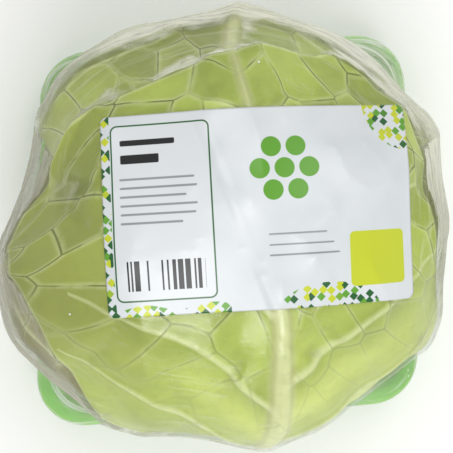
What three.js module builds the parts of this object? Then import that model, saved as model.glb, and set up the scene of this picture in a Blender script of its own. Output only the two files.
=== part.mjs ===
// A green cabbage head on a foam tray, wrapped in clear stretch film with a paper label on top.
// Millimetres, +Z up. The wrapped pack stands on z = 0 with the middle of its outline on the Z axis.
// Seen from above, -Y is the side that the outermost leaf climbs from, and the label reads along +X.
import * as THREE from "three";

const DEG = Math.PI / 180;

// The head. Every radius on it is measured outwards from this centre, which is over the tray's middle.
// It is a little off the Z axis, because one corner of the tray is pushed out.
const HEAD_CENTRE = new THREE.Vector3(2.9, 1.6, 66);

// The heart is the tight ball of inner leaves, a flattened ball that is shallower below its middle.
const HEART = { across: 67.5, up: 55, down: 46, rings: 15, ringCrowding: 1.05, columns: 34 };
const HEART_CREASE = { height: 0.7, waves: 9, spiral: 5 };
// Slow waves round the middle keep the head from being a perfect ball. Four of them make it squarish.
const LOBES = [
  { share: 0.016, count: 4, phase: -Math.PI / 2 },
  { share: 0.014, count: 3, phase: 0.6 },
  { share: 0.009, count: 5, phase: 2.1 },
];
// The head bulges towards two sides, and is drawn in beside one of them.
const BULGES = [
  { azimuth: 202 * DEG, halfWidth: 36 * DEG, out: 0.09 },
  { azimuth: 150 * DEG, halfWidth: 34 * DEG, out: -0.04 },
  { azimuth: 318 * DEG, halfWidth: 34 * DEG, out: 0.045 },
];
const STEM = {
  cutHeight: 5.3,
  radius: 13.5,
  bevel: 1.2,
  flare: 17,
  topHeight: 21,
  swell: 0.8,
  swellDepth: 7,
};

// A leaf blade, and the room that each leaf leaves for itself under the next one out.
const BLADE = {
  thickness: 0.8,
  heartGap: 1.7,
  layer: 2.85,
  ramp: 18,
  fullCover: 0.98, // the cover that counts as lying under a leaf
  rows: 18,
  columns: 16,
  columnCrowding: 1.15, // above 1, columns crowd towards the midrib
};
// How far round each point of a leaf the leaves beneath are felt for.
const FEEL = [
  [0, 0],
  [6 * DEG, 0],
  [-6 * DEG, 0],
  [0, 7.5 * DEG],
  [0, -7.5 * DEG],
  [5.5 * DEG, 6 * DEG],
  [-5.5 * DEG, 6 * DEG],
  [5.5 * DEG, -6 * DEG],
  [-5.5 * DEG, -6 * DEG],
];
// The midrib stands out of the leaf's outer face and fades towards the tip.
const RIB = {
  height: 3.4,
  footShare: 0.3, // its height at the foot, before it rises to the full height
  footLength: 0.16, // the share of the leaf's length over which it rises
  fade: 0.88,
  halfWidth: 6.4,
  tipHalfWidth: 1.5,
  crest: 0.6, // the share of its half width that the next leaf out rests on
  room: 14,
};
// Side veins leave the midrib in pairs and sweep up towards the tip.
const SIDE_VEINS = { pairs: 8, height: 0.6, fade: 0.5, sweep: 27 * DEG, bend: 1.4, passes: 12 };
const NET = { height: 0.2, across: 9, along: 2.6 };
const OUTLINE = {
  start: 20 * DEG, // the leaf's base, beside the stem
  petiole: 0.2,
  roundness: 3.2,
  blunt: 0.985,
  wave: 0.025,
  opens: [0.42, 0.42], // the shares of its length by which its left and right sides are fully open
  closes: [0.5, 0.5], // where they start to close again
};
const MARGIN = { lift: 0.35, waves: 11, begins: 0.8 };

// Leaves from the innermost to the outermost. heading: where the midrib climbs, seen from above.
// side: how far the base sits off the stem's axis. tip: how far round the head the leaf reaches.
// left and right: half widths, seen from outside with the stem down. lift: how far the margin stands
// up. The outermost leaf has its own shares for opens and closes.
const LEAVES = [
  { heading: 24, side: 0, tip: 168, left: 58, right: 56, lift: 0 },
  { heading: 142, side: 0, tip: 172, left: 57, right: 60, lift: 0 },
  { heading: 236, side: 0, tip: 160, left: 55, right: 55, lift: 0 },
  { heading: -28, side: 2, tip: 158, left: 56, right: 52, lift: 0.2 },
  { heading: 188, side: -3, tip: 150, left: 54, right: 56, lift: 0.2 },
  { heading: 84, side: 3, tip: 170, left: 62, right: 64, lift: 0.5 },
  {
    heading: -84,
    side: 12,
    tip: 232,
    left: 80,
    right: 55,
    lift: 1.6,
    opens: [0.82, 0.56],
    closes: [0.68, 0.4],
  },
];

// The tray: a square of foam with rounded corners, flared sides and a narrow lip.
const TRAY = {
  under: 0.9,
  height: 20,
  wall: 3.2,
  floor: 4,
  baseHalf: 56,
  rimHalf: 71.5,
  baseCorner: 16,
  rimCorner: 19,
  lip: 2.6,
  lipThickness: 2.6,
  lipBevel: 0.5,
  rimDip: 0.7, // how far the rim's inner edge is rounded down
  rimRound: 1.4,
  edge: 0.8, // the bevel round the rim's outer edge
  floorInset: 13.5, // from the wall's inner face at the rim to the flat floor
  floorCurve: [2.5, 1.6], // across and up, between the flat floor and the wall
  baseRound: [1.6, 1.8],
  pointsPerCorner: 8,
  // The head's weight pushes one corner of the rim outwards, and the film draws another one in.
  bows: [
    { azimuth: 218 * DEG, halfWidth: 34 * DEG, out: 0.066 },
    { azimuth: 138 * DEG, halfWidth: 32 * DEG, out: -0.045 },
  ],
};

// The film is drawn much thicker than real film, so that it is a sound solid.
const FILM = {
  thickness: 0.6,
  slant: 1.15, // the film lies aslant to the radii that its thickness is set along
  clear: 0.8,
  baseClear: 1,
  columns: 48,
  ringsAbove: 16, // rings from the crown to the tray's rim
  ringsBeside: 4, // rings from the rim to the edge of the tray's base
  ringsUnder: 3, // rings from that edge to the opening in the middle
  passes: 260,
  look: 3, // how finely the contents are searched round each point of the film
  lookShare: 0.6, // and how far towards its neighbours
  openRadius: 30,
  openWaves: [
    { size: 4, count: 3, phase: 1 },
    { size: 2.5, count: 7, phase: 0.4 },
  ],
};

const LABEL = {
  centre: [10.5, 5],
  width: 96,
  depth: 62,
  turn: 0.5 * DEG,
  corner: 1.3,
  thickness: 0.5,
  clear: 0.9,
  columns: 16,
  rows: 10,
  seatPasses: 6,
  passes: 40,
};

const COLOURS = {
  heart: 0xc7d48a,
  leaf: 0xaab75f,
  outerLeaf: 0xb4c268,
  tray: 0x9fd68a,
  film: 0xdfe3dc,
  label: 0xe6e9e8,
};

const clamp = (value, low, high) => Math.min(high, Math.max(low, value));

function smooth(share) {
  const x = clamp(share, 0, 1);
  return x * x * (3 - 2 * x);
}

// A rounded hump: 1 in the middle, 0 from one half width outwards.
function hump(distance, halfWidth) {
  const x = distance / halfWidth;
  return x < 1 ? (1 - x * x) ** 2 : 0;
}

// The angle between two azimuths, from 0 to half a turn.
function turnApart(one, other) {
  const turn = Math.abs(one - other) % (2 * Math.PI);
  return Math.min(turn, 2 * Math.PI - turn);
}

// A flat-topped hump: 1 over the half width, then 0 from one room further out.
const shoulder = (distance, halfWidth, room) => smooth((halfWidth + room - distance) / room);

// Radius of the heart along a unit direction from the head's centre.
function heartRadius(direction) {
  const flat = direction.x ** 2 + direction.y ** 2;
  const half = direction.z > 0 ? HEART.up : HEART.down;
  const azimuth = Math.atan2(direction.y, direction.x);
  let lobes = 1;
  for (const { share, count, phase } of LOBES) {
    lobes += share * flat * Math.sin(count * azimuth + phase);
  }
  for (const bulge of BULGES) {
    lobes += bulge.out * flat * hump(turnApart(azimuth, bulge.azimuth), bulge.halfWidth);
  }
  return lobes / Math.sqrt(flat / HEART.across ** 2 + direction.z ** 2 / half ** 2);
}

// Each leaf's own axes: base points at its foot, along at its heading, across to its right.
const leaves = LEAVES.map((leaf) => {
  const heading = leaf.heading * DEG;
  const along = new THREE.Vector3(Math.cos(heading), Math.sin(heading), 0);
  const level = new THREE.Vector3(-Math.sin(heading), Math.cos(heading), 0);
  const base = new THREE.Vector3(0, 0, -Math.cos(leaf.side * DEG));
  base.addScaledVector(level, -Math.sin(leaf.side * DEG));
  const across = new THREE.Vector3().crossVectors(along, base);
  const { opens, closes } = OUTLINE;
  return { opens, closes, ...leaf, along, base, across, end: leaf.tip * DEG };
});

// Direction of the point that lies reach round from the leaf's foot and turn to its right.
function leafDirection(leaf, reach, turn) {
  return new THREE.Vector3()
    .addScaledVector(leaf.base, Math.cos(turn) * Math.cos(reach))
    .addScaledVector(leaf.along, Math.cos(turn) * Math.sin(reach))
    .addScaledVector(leaf.across, Math.sin(turn));
}

// The other way round: reach and turn of a direction.
function leafPlace(leaf, direction) {
  const turn = Math.asin(clamp(direction.dot(leaf.across), -1, 1));
  let reach = Math.atan2(direction.dot(leaf.along), direction.dot(leaf.base));
  const behind = (OUTLINE.start + leaf.end) / 2 - Math.PI;
  if (reach < behind) reach += 2 * Math.PI;
  return { reach, turn };
}

const shareAlong = (leaf, reach) => (reach - OUTLINE.start) / (leaf.end - OUTLINE.start);

// Half width of the leaf, as an angle, on the side that turn lies on.
function halfWidth(leaf, reach, turn) {
  const x = clamp(shareAlong(leaf, reach), 0, OUTLINE.blunt);
  const side = turn < 0 ? 0 : 1;
  const opening = OUTLINE.petiole + (1 - OUTLINE.petiole) * smooth(x / leaf.opens[side]);
  const closes = leaf.closes[side];
  const u = clamp((x - closes) / (1 - closes), 0, 1);
  const closing = (1 - u ** OUTLINE.roundness) ** (1 / OUTLINE.roundness);
  const wave = 1 + OUTLINE.wave * Math.sin(MARGIN.waves * x + leaf.heading);
  return (turn < 0 ? leaf.left : leaf.right) * DEG * opening * closing * wave;
}

// Height of the midrib at a share of the leaf's length. It is low at the foot, where the leaves crowd.
const ribHeight = (x) =>
  RIB.height * smooth(RIB.footShare + x / RIB.footLength) * (1 - RIB.fade * clamp(x, 0, 1));
const ribHalfWidth = (x) => RIB.tipHalfWidth + RIB.halfWidth * (1 - clamp(x, 0, 1));

// 1 where a leaf lies, falling to 0 over a ramp outside its margin.
function cover(leaf, place, radius) {
  const width = halfWidth(leaf, place.reach, place.turn);
  const inside = Math.min(
    width - Math.abs(place.turn),
    place.reach - OUTLINE.start,
    leaf.end - place.reach,
  );
  return smooth(1 + (inside * radius) / BLADE.ramp);
}

// Radius of the inner face of leaf number index: on the heart and on every leaf beneath it.
function supportRadius(index, direction) {
  const heart = heartRadius(direction);
  let radius = heart + BLADE.heartGap;
  for (const leaf of leaves.slice(0, index)) {
    const place = leafPlace(leaf, direction);
    const x = shareAlong(leaf, place.reach);
    const rib = ribHeight(x) * shoulder(Math.abs(place.turn) * heart, ribHalfWidth(x) * RIB.crest, RIB.room);
    radius += cover(leaf, place, heart) * (BLADE.layer + rib);
  }
  return radius;
}

// Radius of the inner face at a point of the leaf's mesh, clear of every step close to it.
function restingRadius(leaf, index, reach, turn) {
  const here = leafDirection(leaf, reach, turn);
  const felt = FEEL.map(([ahead, aside]) => {
    const near = leafDirection(leaf, reach + ahead, turn + aside);
    return supportRadius(index, near) * near.dot(here);
  });
  return Math.max(...felt);
}

// What stands out of the blade at a place: midrib, side veins, net veins and the lifted margin.
function relief(leaf, place, vein, radius) {
  const x = shareAlong(leaf, place.reach);
  const off = Math.abs(place.turn) / halfWidth(leaf, place.reach, place.turn);
  const rib = ribHeight(x) * hump(Math.abs(place.turn) * radius, ribHalfWidth(x));
  const offVein = Math.abs(vein - Math.round(vein));
  const veinRidge = SIDE_VEINS.height * (1 - 2 * offVein) * (1 - SIDE_VEINS.fade * off);
  const net = NET.height * Math.sin(NET.across * place.turn + vein) * Math.sin(NET.along * vein);
  const margin = (leaf.lift + MARGIN.lift) * smooth((off - MARGIN.begins) / (1 - MARGIN.begins));
  const wave = 0.5 + 0.5 * Math.sin(MARGIN.waves * 2 * x + 3 * leaf.heading);
  return Math.max(rib, veinRidge) + NET.height + net + margin * wave;
}

// Which side vein a place lies on: whole numbers are ridges.
function veinNumber(leaf, place) {
  const off = Math.min(1, Math.abs(place.turn) / halfWidth(leaf, place.reach, place.turn));
  const target = shareAlong(leaf, place.reach);
  const length = leaf.end - OUTLINE.start;
  let row = target;
  for (let pass = 0; pass < SIDE_VEINS.passes; pass++) {
    const swept = 4 * row * (1 - row) * SIDE_VEINS.sweep * off ** SIDE_VEINS.bend;
    row = clamp(target - swept / length, 0, 1);
  }
  return row * SIDE_VEINS.pairs;
}

// Radius of the outermost leaf surface along a direction.
function headRadius(direction) {
  let radius = heartRadius(direction) + HEART_CREASE.height;
  leaves.forEach((leaf, index) => {
    const place = leafPlace(leaf, direction);
    const inside = cover(leaf, place, radius) > BLADE.fullCover;
    if (!inside) return;
    const support = restingRadius(leaf, index, place.reach, place.turn);
    const outer = support + BLADE.thickness + relief(leaf, place, veinNumber(leaf, place), support);
    radius = Math.max(radius, outer);
  });
  return radius;
}

// One closed mesh from rings of equal length, closed by a point before the first and after the last.
function ringSolid(first, rings, last) {
  const count = rings[0].length;
  const points = [first, ...rings.flat(), last];
  const index = [];
  const at = (ring, k) => 1 + ring * count + (k % count);
  for (let k = 0; k < count; k++) {
    index.push(0, at(0, k), at(0, k + 1));
    index.push(points.length - 1, at(rings.length - 1, k + 1), at(rings.length - 1, k));
    for (let ring = 0; ring + 1 < rings.length; ring++) {
      index.push(at(ring, k), at(ring + 1, k + 1), at(ring, k + 1));
      index.push(at(ring, k), at(ring + 1, k), at(ring + 1, k + 1));
    }
  }
  return meshGeometry(points, index);
}

// One closed sheet from two grids of points that share their rows and columns.
function sheetSolid(outer, inner) {
  const rows = outer.length;
  const columns = outer[0].length;
  const points = [...outer.flat(), ...inner.flat()];
  const index = [];
  const out = (i, k) => i * columns + k;
  const into = (i, k) => rows * columns + i * columns + k;
  // Both faces of a cell are split along the same diagonal, the shorter one.
  for (let i = 0; i + 1 < rows; i++) {
    for (let k = 0; k + 1 < columns; k++) {
      const corners = [[i, k], [i, k + 1], [i + 1, k + 1], [i + 1, k]];
      const rising = outer[i][k].distanceTo(outer[i + 1][k + 1]);
      const falling = outer[i][k + 1].distanceTo(outer[i + 1][k]);
      if (falling < rising) corners.push(corners.shift());
      const [a, b, c, d] = corners;
      index.push(out(...a), out(...b), out(...c), out(...a), out(...c), out(...d));
      index.push(into(...a), into(...c), into(...b), into(...a), into(...d), into(...c));
    }
  }
  const rim = [];
  for (let k = 0; k + 1 < columns; k++) rim.push([0, k]);
  for (let i = 0; i + 1 < rows; i++) rim.push([i, columns - 1]);
  for (let k = columns - 1; k > 0; k--) rim.push([rows - 1, k]);
  for (let i = rows - 1; i > 0; i--) rim.push([i, 0]);
  rim.forEach(([i, k], n) => {
    const [j, m] = rim[(n + 1) % rim.length];
    index.push(out(i, k), into(j, m), out(j, m), out(i, k), into(i, k), into(j, m));
  });
  return meshGeometry(points, index);
}

function meshGeometry(points, index) {
  const geometry = new THREE.BufferGeometry();
  geometry.setAttribute("position", new THREE.Float32BufferAttribute(points.flatMap((p) => [...p]), 3));
  geometry.setIndex(index);
  geometry.computeVertexNormals();
  return geometry;
}

const fromCentre = (direction, radius) => direction.clone().multiplyScalar(radius).add(HEAD_CENTRE);

// A point at a height, off the upright axis through the head's centre.
const offAxis = (x, y, height) => new THREE.Vector3(HEAD_CENTRE.x + x, HEAD_CENTRE.y + y, height);

// A unit direction from its angle down from +Z and its azimuth.
const polar = (down, azimuth) =>
  new THREE.Vector3(Math.sin(down) * Math.cos(azimuth), Math.sin(down) * Math.sin(azimuth), Math.cos(down));

// The heart with the edges of its inner leaves as low spiral creases, on the stem's cut stub.
function heartGeometry() {
  const azimuths = Array.from({ length: HEART.columns }, (_, k) => (k / HEART.columns) * 2 * Math.PI);
  const stemRing = (radius, height) =>
    azimuths.map((a) => offAxis(radius * Math.cos(a), radius * Math.sin(a), height));
  const rings = [];
  const lowest = Math.PI - Math.atan2(STEM.flare, HEAD_CENTRE.z - STEM.topHeight);
  for (let i = 1; i <= HEART.rings; i++) {
    const down = (i / HEART.rings) ** HEART.ringCrowding * lowest;
    rings.push(
      azimuths.map((azimuth) => {
        const direction = polar(down, azimuth);
        const wave = Math.sin(HEART_CREASE.waves * azimuth + HEART_CREASE.spiral * down);
        const crease = HEART_CREASE.height * (0.5 + 0.5 * wave) * Math.sin(down);
        return fromCentre(direction, heartRadius(direction) + crease);
      }),
    );
  }
  rings.push(stemRing(STEM.radius + STEM.swell, STEM.topHeight - STEM.swellDepth));
  rings.push(stemRing(STEM.radius, STEM.cutHeight + STEM.bevel));
  rings.push(stemRing(STEM.radius - STEM.bevel, STEM.cutHeight));
  const top = fromCentre(new THREE.Vector3(0, 0, 1), HEART.up);
  return ringSolid(top, rings, offAxis(0, 0, STEM.cutHeight));
}

// One wrapper leaf. Its rows run along the side veins, every second one on a ridge.
function leafGeometry(leaf, index) {
  const outer = [];
  const inner = [];
  const length = (leaf.end - OUTLINE.start) * OUTLINE.blunt;
  for (let i = 0; i <= BLADE.rows; i++) {
    const row = i / BLADE.rows;
    const outerRow = [];
    const innerRow = [];
    for (let k = 0; k <= BLADE.columns; k++) {
      const share = (2 * k) / BLADE.columns - 1;
      const off = Math.sign(share) * Math.abs(share) ** BLADE.columnCrowding;
      const swept = 4 * row * (1 - row) * SIDE_VEINS.sweep * Math.abs(off) ** SIDE_VEINS.bend;
      const reach = OUTLINE.start + length * row + swept;
      const turn = off * halfWidth(leaf, reach, off);
      const direction = leafDirection(leaf, reach, turn);
      const support = restingRadius(leaf, index, reach, turn);
      const raised = relief(leaf, { reach, turn }, row * SIDE_VEINS.pairs, support);
      outerRow.push(fromCentre(direction, support + BLADE.thickness + raised));
      innerRow.push(fromCentre(direction, support));
    }
    outer.push(outerRow);
    inner.push(innerRow);
  }
  return sheetSolid(outer, inner);
}

// How far out the tray is pushed at an azimuth and a height, as a factor.
function trayBow(azimuth, height) {
  let factor = 1;
  for (const bow of TRAY.bows) {
    const near = hump(turnApart(azimuth, bow.azimuth), bow.halfWidth);
    factor += bow.out * near * clamp((height - TRAY.under) / TRAY.height, 0, 1);
  }
  return factor;
}

// A square with rounded corners, as one ring of points that starts on +X and runs counter-clockwise.
function roundedSquare(half, corner, height) {
  const ring = [];
  const steps = TRAY.pointsPerCorner;
  for (let side = 0; side < 4; side++) {
    for (let k = 0; k < steps; k++) {
      const angle = ((side + k / (steps - 1)) * Math.PI) / 2;
      const middle = ((side + 0.5) * Math.PI) / 2;
      const x = Math.sign(Math.cos(middle)) * (half - corner) + corner * Math.cos(angle);
      const y = Math.sign(Math.sin(middle)) * (half - corner) + corner * Math.sin(angle);
      const bow = trayBow(Math.atan2(y, x), height);
      ring.push(offAxis(x * bow, y * bow, height));
    }
  }
  return ring;
}

function trayGeometry() {
  const floor = TRAY.under + TRAY.floor;
  const rim = TRAY.under + TRAY.height;
  const lipUnder = rim - TRAY.lipThickness;
  const wallHalf = TRAY.rimHalf - TRAY.lip;
  const wallCorner = TRAY.rimCorner - TRAY.lip;
  const insideHalf = wallHalf - TRAY.wall;
  const insideCorner = wallCorner - TRAY.wall;
  const [curveAcross, curveUp] = TRAY.floorCurve;
  const [roundAcross, roundUp] = TRAY.baseRound;
  const floorHalf = insideHalf - TRAY.floorInset;
  const floorCorner = TRAY.baseCorner - 2 * curveAcross;
  const rings = [
    roundedSquare(floorHalf, floorCorner - curveAcross, floor),
    roundedSquare(floorHalf + curveAcross, floorCorner, floor + curveUp),
    roundedSquare(insideHalf, insideCorner, rim - TRAY.rimDip),
    roundedSquare(insideHalf + TRAY.rimRound, insideCorner + TRAY.rimRound, rim),
    roundedSquare(TRAY.rimHalf - TRAY.edge, TRAY.rimCorner - TRAY.edge, rim),
    roundedSquare(TRAY.rimHalf, TRAY.rimCorner, rim - TRAY.edge),
    roundedSquare(TRAY.rimHalf, TRAY.rimCorner, lipUnder),
    roundedSquare(wallHalf, wallCorner, lipUnder - TRAY.lipBevel),
    roundedSquare(TRAY.baseHalf + roundAcross, TRAY.baseCorner + roundAcross, TRAY.under + roundUp),
    roundedSquare(TRAY.baseHalf, TRAY.baseCorner, TRAY.under),
  ];
  return ringSolid(offAxis(0, 0, floor), rings, offAxis(0, 0, TRAY.under));
}

// Radius of the tray's outside along a direction, 0 where it isn't met.
const trayProbe = new THREE.Mesh(trayGeometry(), new THREE.MeshBasicMaterial({ side: THREE.DoubleSide }));
const probeRay = new THREE.Raycaster();
function trayRadius(direction) {
  probeRay.set(HEAD_CENTRE, direction);
  const hits = probeRay.intersectObject(trayProbe);
  return hits.length ? hits[hits.length - 1].distance : 0;
}

// Distance from the axis to the edge of a rounded square, along an azimuth.
function squareReach(half, corner, azimuth) {
  const a = Math.abs(Math.cos(azimuth));
  const b = Math.abs(Math.sin(azimuth));
  const flat = half / Math.max(a, b);
  const inner = half - corner;
  if (flat * Math.min(a, b) <= inner) return flat;
  return inner * (a + b) + Math.sqrt(Math.max(0, corner ** 2 - (inner * (a - b)) ** 2));
}

const filmRings = FILM.ringsAbove + FILM.ringsBeside + FILM.ringsUnder;
const azimuthOf = (column) => (column / FILM.columns) * 2 * Math.PI;
const baseRing = FILM.ringsAbove + FILM.ringsBeside - 1;

// The film's directions: rings from the crown past the tray's rim and base to the opening under it.
function filmDirections() {
  const directions = Array.from({ length: filmRings }, () => []);
  for (let k = 0; k < FILM.columns; k++) {
    const azimuth = azimuthOf(k);
    let open = FILM.openRadius;
    for (const { size, count, phase } of FILM.openWaves) open += size * Math.sin(count * azimuth + phase);
    const bow = trayBow(azimuth, TRAY.under + TRAY.height);
    const rim = squareReach(TRAY.rimHalf, TRAY.rimCorner, azimuth) * bow + FILM.clear;
    const base = squareReach(TRAY.baseHalf, TRAY.baseCorner, azimuth) + FILM.baseClear;
    const downTo = (reach, height) => Math.PI - Math.atan2(reach, HEAD_CENTRE.z - height);
    const toRim = downTo(rim, TRAY.under + TRAY.height);
    const toBase = downTo(base, FILM.thickness);
    const toOpening = downTo(open, FILM.thickness);
    for (let i = 0; i < filmRings; i++) {
      const besideShare = (i + 1 - FILM.ringsAbove) / FILM.ringsBeside;
      const underShare = (i - baseRing) / FILM.ringsUnder;
      let down = (toRim * (i + 1)) / FILM.ringsAbove;
      if (i >= FILM.ringsAbove) down = toRim + (toBase - toRim) * besideShare;
      if (i > baseRing) down = toBase + (toOpening - toBase) * underShare;
      directions[i].push(polar(down, azimuth));
    }
  }
  return directions;
}

// The furthest that the contents reach near a direction, with room for the film to lie outside.
function contentsRadius(directions, i, k) {
  const here = directions[i][k];
  if (i >= baseRing) return (HEAD_CENTRE.z - FILM.thickness) / -here.z;
  const rows = [directions[Math.max(0, i - 1)][k], directions[i + 1][k]];
  const ring = directions[i];
  const sides = [ring[(k + 1) % FILM.columns], ring[(k + FILM.columns - 1) % FILM.columns]];
  let furthest = 0;
  for (const row of rows) {
    for (const side of sides) {
      for (let p = 0; p < FILM.look; p++) {
        for (let q = 0; q < FILM.look; q++) {
          const near = here.clone();
          near.addScaledVector(row.clone().sub(here), (FILM.lookShare * p) / (FILM.look - 1));
          near.addScaledVector(side.clone().sub(here), (FILM.lookShare * q) / (FILM.look - 1));
          near.normalize();
          const content = Math.max(headRadius(near), trayRadius(near));
          furthest = Math.max(furthest, content * near.dot(here));
        }
      }
    }
  }
  return furthest + FILM.clear;
}

// Where a point of the film lies among its neighbours: the angles to the rings above and below it,
// the length of its two side neighbours' sum, and how far that sum points above it.
function filmSpacing(directions, i, k) {
  const here = directions[i][k];
  const up = new THREE.Vector3(0, 0, 1);
  const above = i > 0 ? directions[i - 1][k] : up;
  const ring = directions[i];
  const sum = ring[(k + 1) % FILM.columns].clone().add(ring[(k + FILM.columns - 1) % FILM.columns]);
  return {
    toAbove: here.angleTo(above),
    toBelow: here.angleTo(directions[i + 1][k]),
    span: sum.length(),
    rise: here.angleTo(up) - sum.angleTo(up),
  };
}

// Stretched film: each point is drawn to the plane of its neighbours, and held out by the contents.
// It is worked out in 1 / radius, in which a flat stretch of film is the exact mean of its neighbours.
function filmRadii(directions) {
  const held = directions.map((ring, i) => ring.map((_, k) => 1 / contentsRadius(directions, i, k)));
  const close = held.map((ring) => [...ring]);
  const movable = directions.slice(0, baseRing);
  const spacing = movable.map((ring, i) => ring.map((_, k) => filmSpacing(directions, i, k)));
  let crown = Math.min(...held[0]);
  for (let pass = 0; pass < FILM.passes; pass++) {
    for (let i = 0; i < baseRing; i++) {
      for (let k = 0; k < FILM.columns; k++) {
        const { toAbove, toBelow, span, rise } = spacing[i][k];
        const above = i > 0 ? close[i - 1][k] : crown;
        const below = close[i + 1][k];
        const beside = close[i][(k + 1) % FILM.columns] + close[i][(k + FILM.columns - 1) % FILM.columns];
        const upDown = (above * Math.sin(toBelow) + below * Math.sin(toAbove)) / Math.sin(toAbove + toBelow);
        const across = beside / span + (rise * (below - above)) / (toAbove + toBelow);
        close[i][k] = Math.min(held[i][k], (upDown + across) / 2);
      }
    }
    crown = close[0].reduce((sum, c) => sum + c, 0) / FILM.columns / directions[0][0].z;
  }
  const top = headRadius(new THREE.Vector3(0, 0, 1)) + FILM.clear;
  return { radii: close.map((ring) => ring.map((c) => 1 / c)), crown: Math.max(1 / crown, top) };
}

const filmWays = filmDirections();
const film = filmRadii(filmWays);

function filmGeometry() {
  const inner = filmWays.map((ring, i) => ring.map((d, k) => fromCentre(d, film.radii[i][k])));
  const outer = filmWays.map((ring, i) =>
    ring.map((d, k) => {
      const point = fromCentre(d, film.radii[i][k] + FILM.thickness * FILM.slant);
      return i >= baseRing ? fromCentre(d, HEAD_CENTRE.z / -d.z) : point;
    }),
  );
  const up = new THREE.Vector3(0, 0, 1);
  const rings = [...outer, ...inner.reverse()];
  return ringSolid(fromCentre(up, film.crown + FILM.thickness), rings, fromCentre(up, film.crown));
}

// Outer radius of the film along a direction above the head, from the four film points round it.
function filmOutside(direction) {
  const azimuth = (Math.atan2(direction.y, direction.x) / (2 * Math.PI)) * FILM.columns + FILM.columns;
  const rim = Math.acos(filmWays[FILM.ringsAbove - 1][Math.round(azimuth) % FILM.columns].z);
  const down = (Math.acos(clamp(direction.z, -1, 1)) / rim) * FILM.ringsAbove - 1;
  const i = Math.floor(down);
  const k = Math.floor(azimuth);
  const value = (row, column) => (row < 0 ? film.crown : film.radii[row][column % FILM.columns]);
  const four = [value(i, k), value(i + 1, k), value(i, k + 1), value(i + 1, k + 1)];
  const [u, v] = [down - i, azimuth - k];
  const mixed = (1 - v) * ((1 - u) * four[0] + u * four[1]) + v * ((1 - u) * four[2] + u * four[3]);
  return mixed + FILM.thickness * FILM.slant;
}

// The label lies on the film where it is high and bridges its hollows.
function labelGeometry() {
  const ways = [];
  for (let i = 0; i <= LABEL.rows; i++) {
    const row = [];
    for (let k = 0; k <= LABEL.columns; k++) {
      let u = (k / LABEL.columns - 0.5) * LABEL.width;
      let v = (i / LABEL.rows - 0.5) * LABEL.depth;
      const isCorner = (i === 0 || i === LABEL.rows) && (k === 0 || k === LABEL.columns);
      if (isCorner) {
        u -= Math.sign(u) * LABEL.corner;
        v -= Math.sign(v) * LABEL.corner;
      }
      const x = LABEL.centre[0] + u * Math.cos(LABEL.turn) - v * Math.sin(LABEL.turn);
      const y = LABEL.centre[1] + u * Math.sin(LABEL.turn) + v * Math.cos(LABEL.turn);
      let height = film.crown;
      for (let pass = 0; pass < LABEL.seatPasses; pass++) {
        const direction = new THREE.Vector3(x, y, height).normalize();
        height = Math.sqrt(Math.max(1, filmOutside(direction) ** 2 - x * x - y * y));
      }
      row.push(new THREE.Vector3(x, y, height));
    }
    ways.push(row);
  }
  const heights = ways.map((row) => row.map((p) => p.z));
  const lowest = heights.map((row) => [...row]);
  for (let pass = 0; pass < LABEL.passes; pass++) {
    for (let i = 1; i < LABEL.rows; i++) {
      for (let k = 1; k < LABEL.columns; k++) {
        const mean = (heights[i - 1][k] + heights[i + 1][k] + heights[i][k - 1] + heights[i][k + 1]) / 4;
        heights[i][k] = Math.max(lowest[i][k], mean);
      }
    }
  }
  const layer = (lift) =>
    ways.map((row, i) =>
      row.map((p, k) => {
        const direction = new THREE.Vector3(p.x, p.y, heights[i][k]);
        return fromCentre(direction.clone().normalize(), direction.length() + lift);
      }),
    );
  return sheetSolid(layer(LABEL.clear + LABEL.thickness), layer(LABEL.clear));
}

function named(name, geometry, color, roughness, extra = {}) {
  const material = new THREE.MeshStandardMaterial({ color, roughness, metalness: 0, ...extra });
  const mesh = new THREE.Mesh(geometry, material);
  mesh.name = name;
  return mesh;
}

const pack = new THREE.Group();
pack.add(named("tray", trayGeometry(), COLOURS.tray, 0.6));
pack.add(named("heart", heartGeometry(), COLOURS.heart, 0.5));
leaves.forEach((leaf, index) => {
  const colour = index === leaves.length - 1 ? COLOURS.outerLeaf : COLOURS.leaf;
  pack.add(named(`wrapper_leaf_${index + 1}`, leafGeometry(leaf, index), colour, 0.45));
});
pack.add(named("stretch_film", filmGeometry(), COLOURS.film, 0.1, { transparent: true, opacity: 0.3 }));
pack.add(named("label", labelGeometry(), COLOURS.label, 0.3));

export default pack;
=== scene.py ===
"""Dresses a wrapped cabbage: a green head on a square foam tray, in stretch film, with a label.

Everything is in metres in the part's own frame: the pack stands on z = 0 with the Z axis through
the middle of the tray, +Z up, and the outermost leaf's midrib climbing the -Y side.
"""

import logging
import math
from dataclasses import dataclass
from enum import Enum

import bpy
import numpy as np
from mathutils import Matrix, Vector
from mathutils.bvhtree import BVHTree


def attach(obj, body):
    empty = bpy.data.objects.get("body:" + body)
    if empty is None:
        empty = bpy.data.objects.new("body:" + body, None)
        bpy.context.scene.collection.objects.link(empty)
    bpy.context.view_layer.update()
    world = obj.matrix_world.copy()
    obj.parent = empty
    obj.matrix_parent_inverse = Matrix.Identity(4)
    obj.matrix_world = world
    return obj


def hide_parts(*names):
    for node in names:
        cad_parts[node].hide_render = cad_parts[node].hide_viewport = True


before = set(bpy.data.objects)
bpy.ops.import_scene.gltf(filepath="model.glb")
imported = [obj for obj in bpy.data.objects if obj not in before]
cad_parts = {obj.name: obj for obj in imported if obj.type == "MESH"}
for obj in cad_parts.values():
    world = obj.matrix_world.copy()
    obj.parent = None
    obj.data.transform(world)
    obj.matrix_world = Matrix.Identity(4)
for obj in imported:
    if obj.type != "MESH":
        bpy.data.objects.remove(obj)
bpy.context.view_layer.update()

LOG = logging.getLogger("wrapped_cabbage")
MM = 0.001
BODY = "root"
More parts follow.
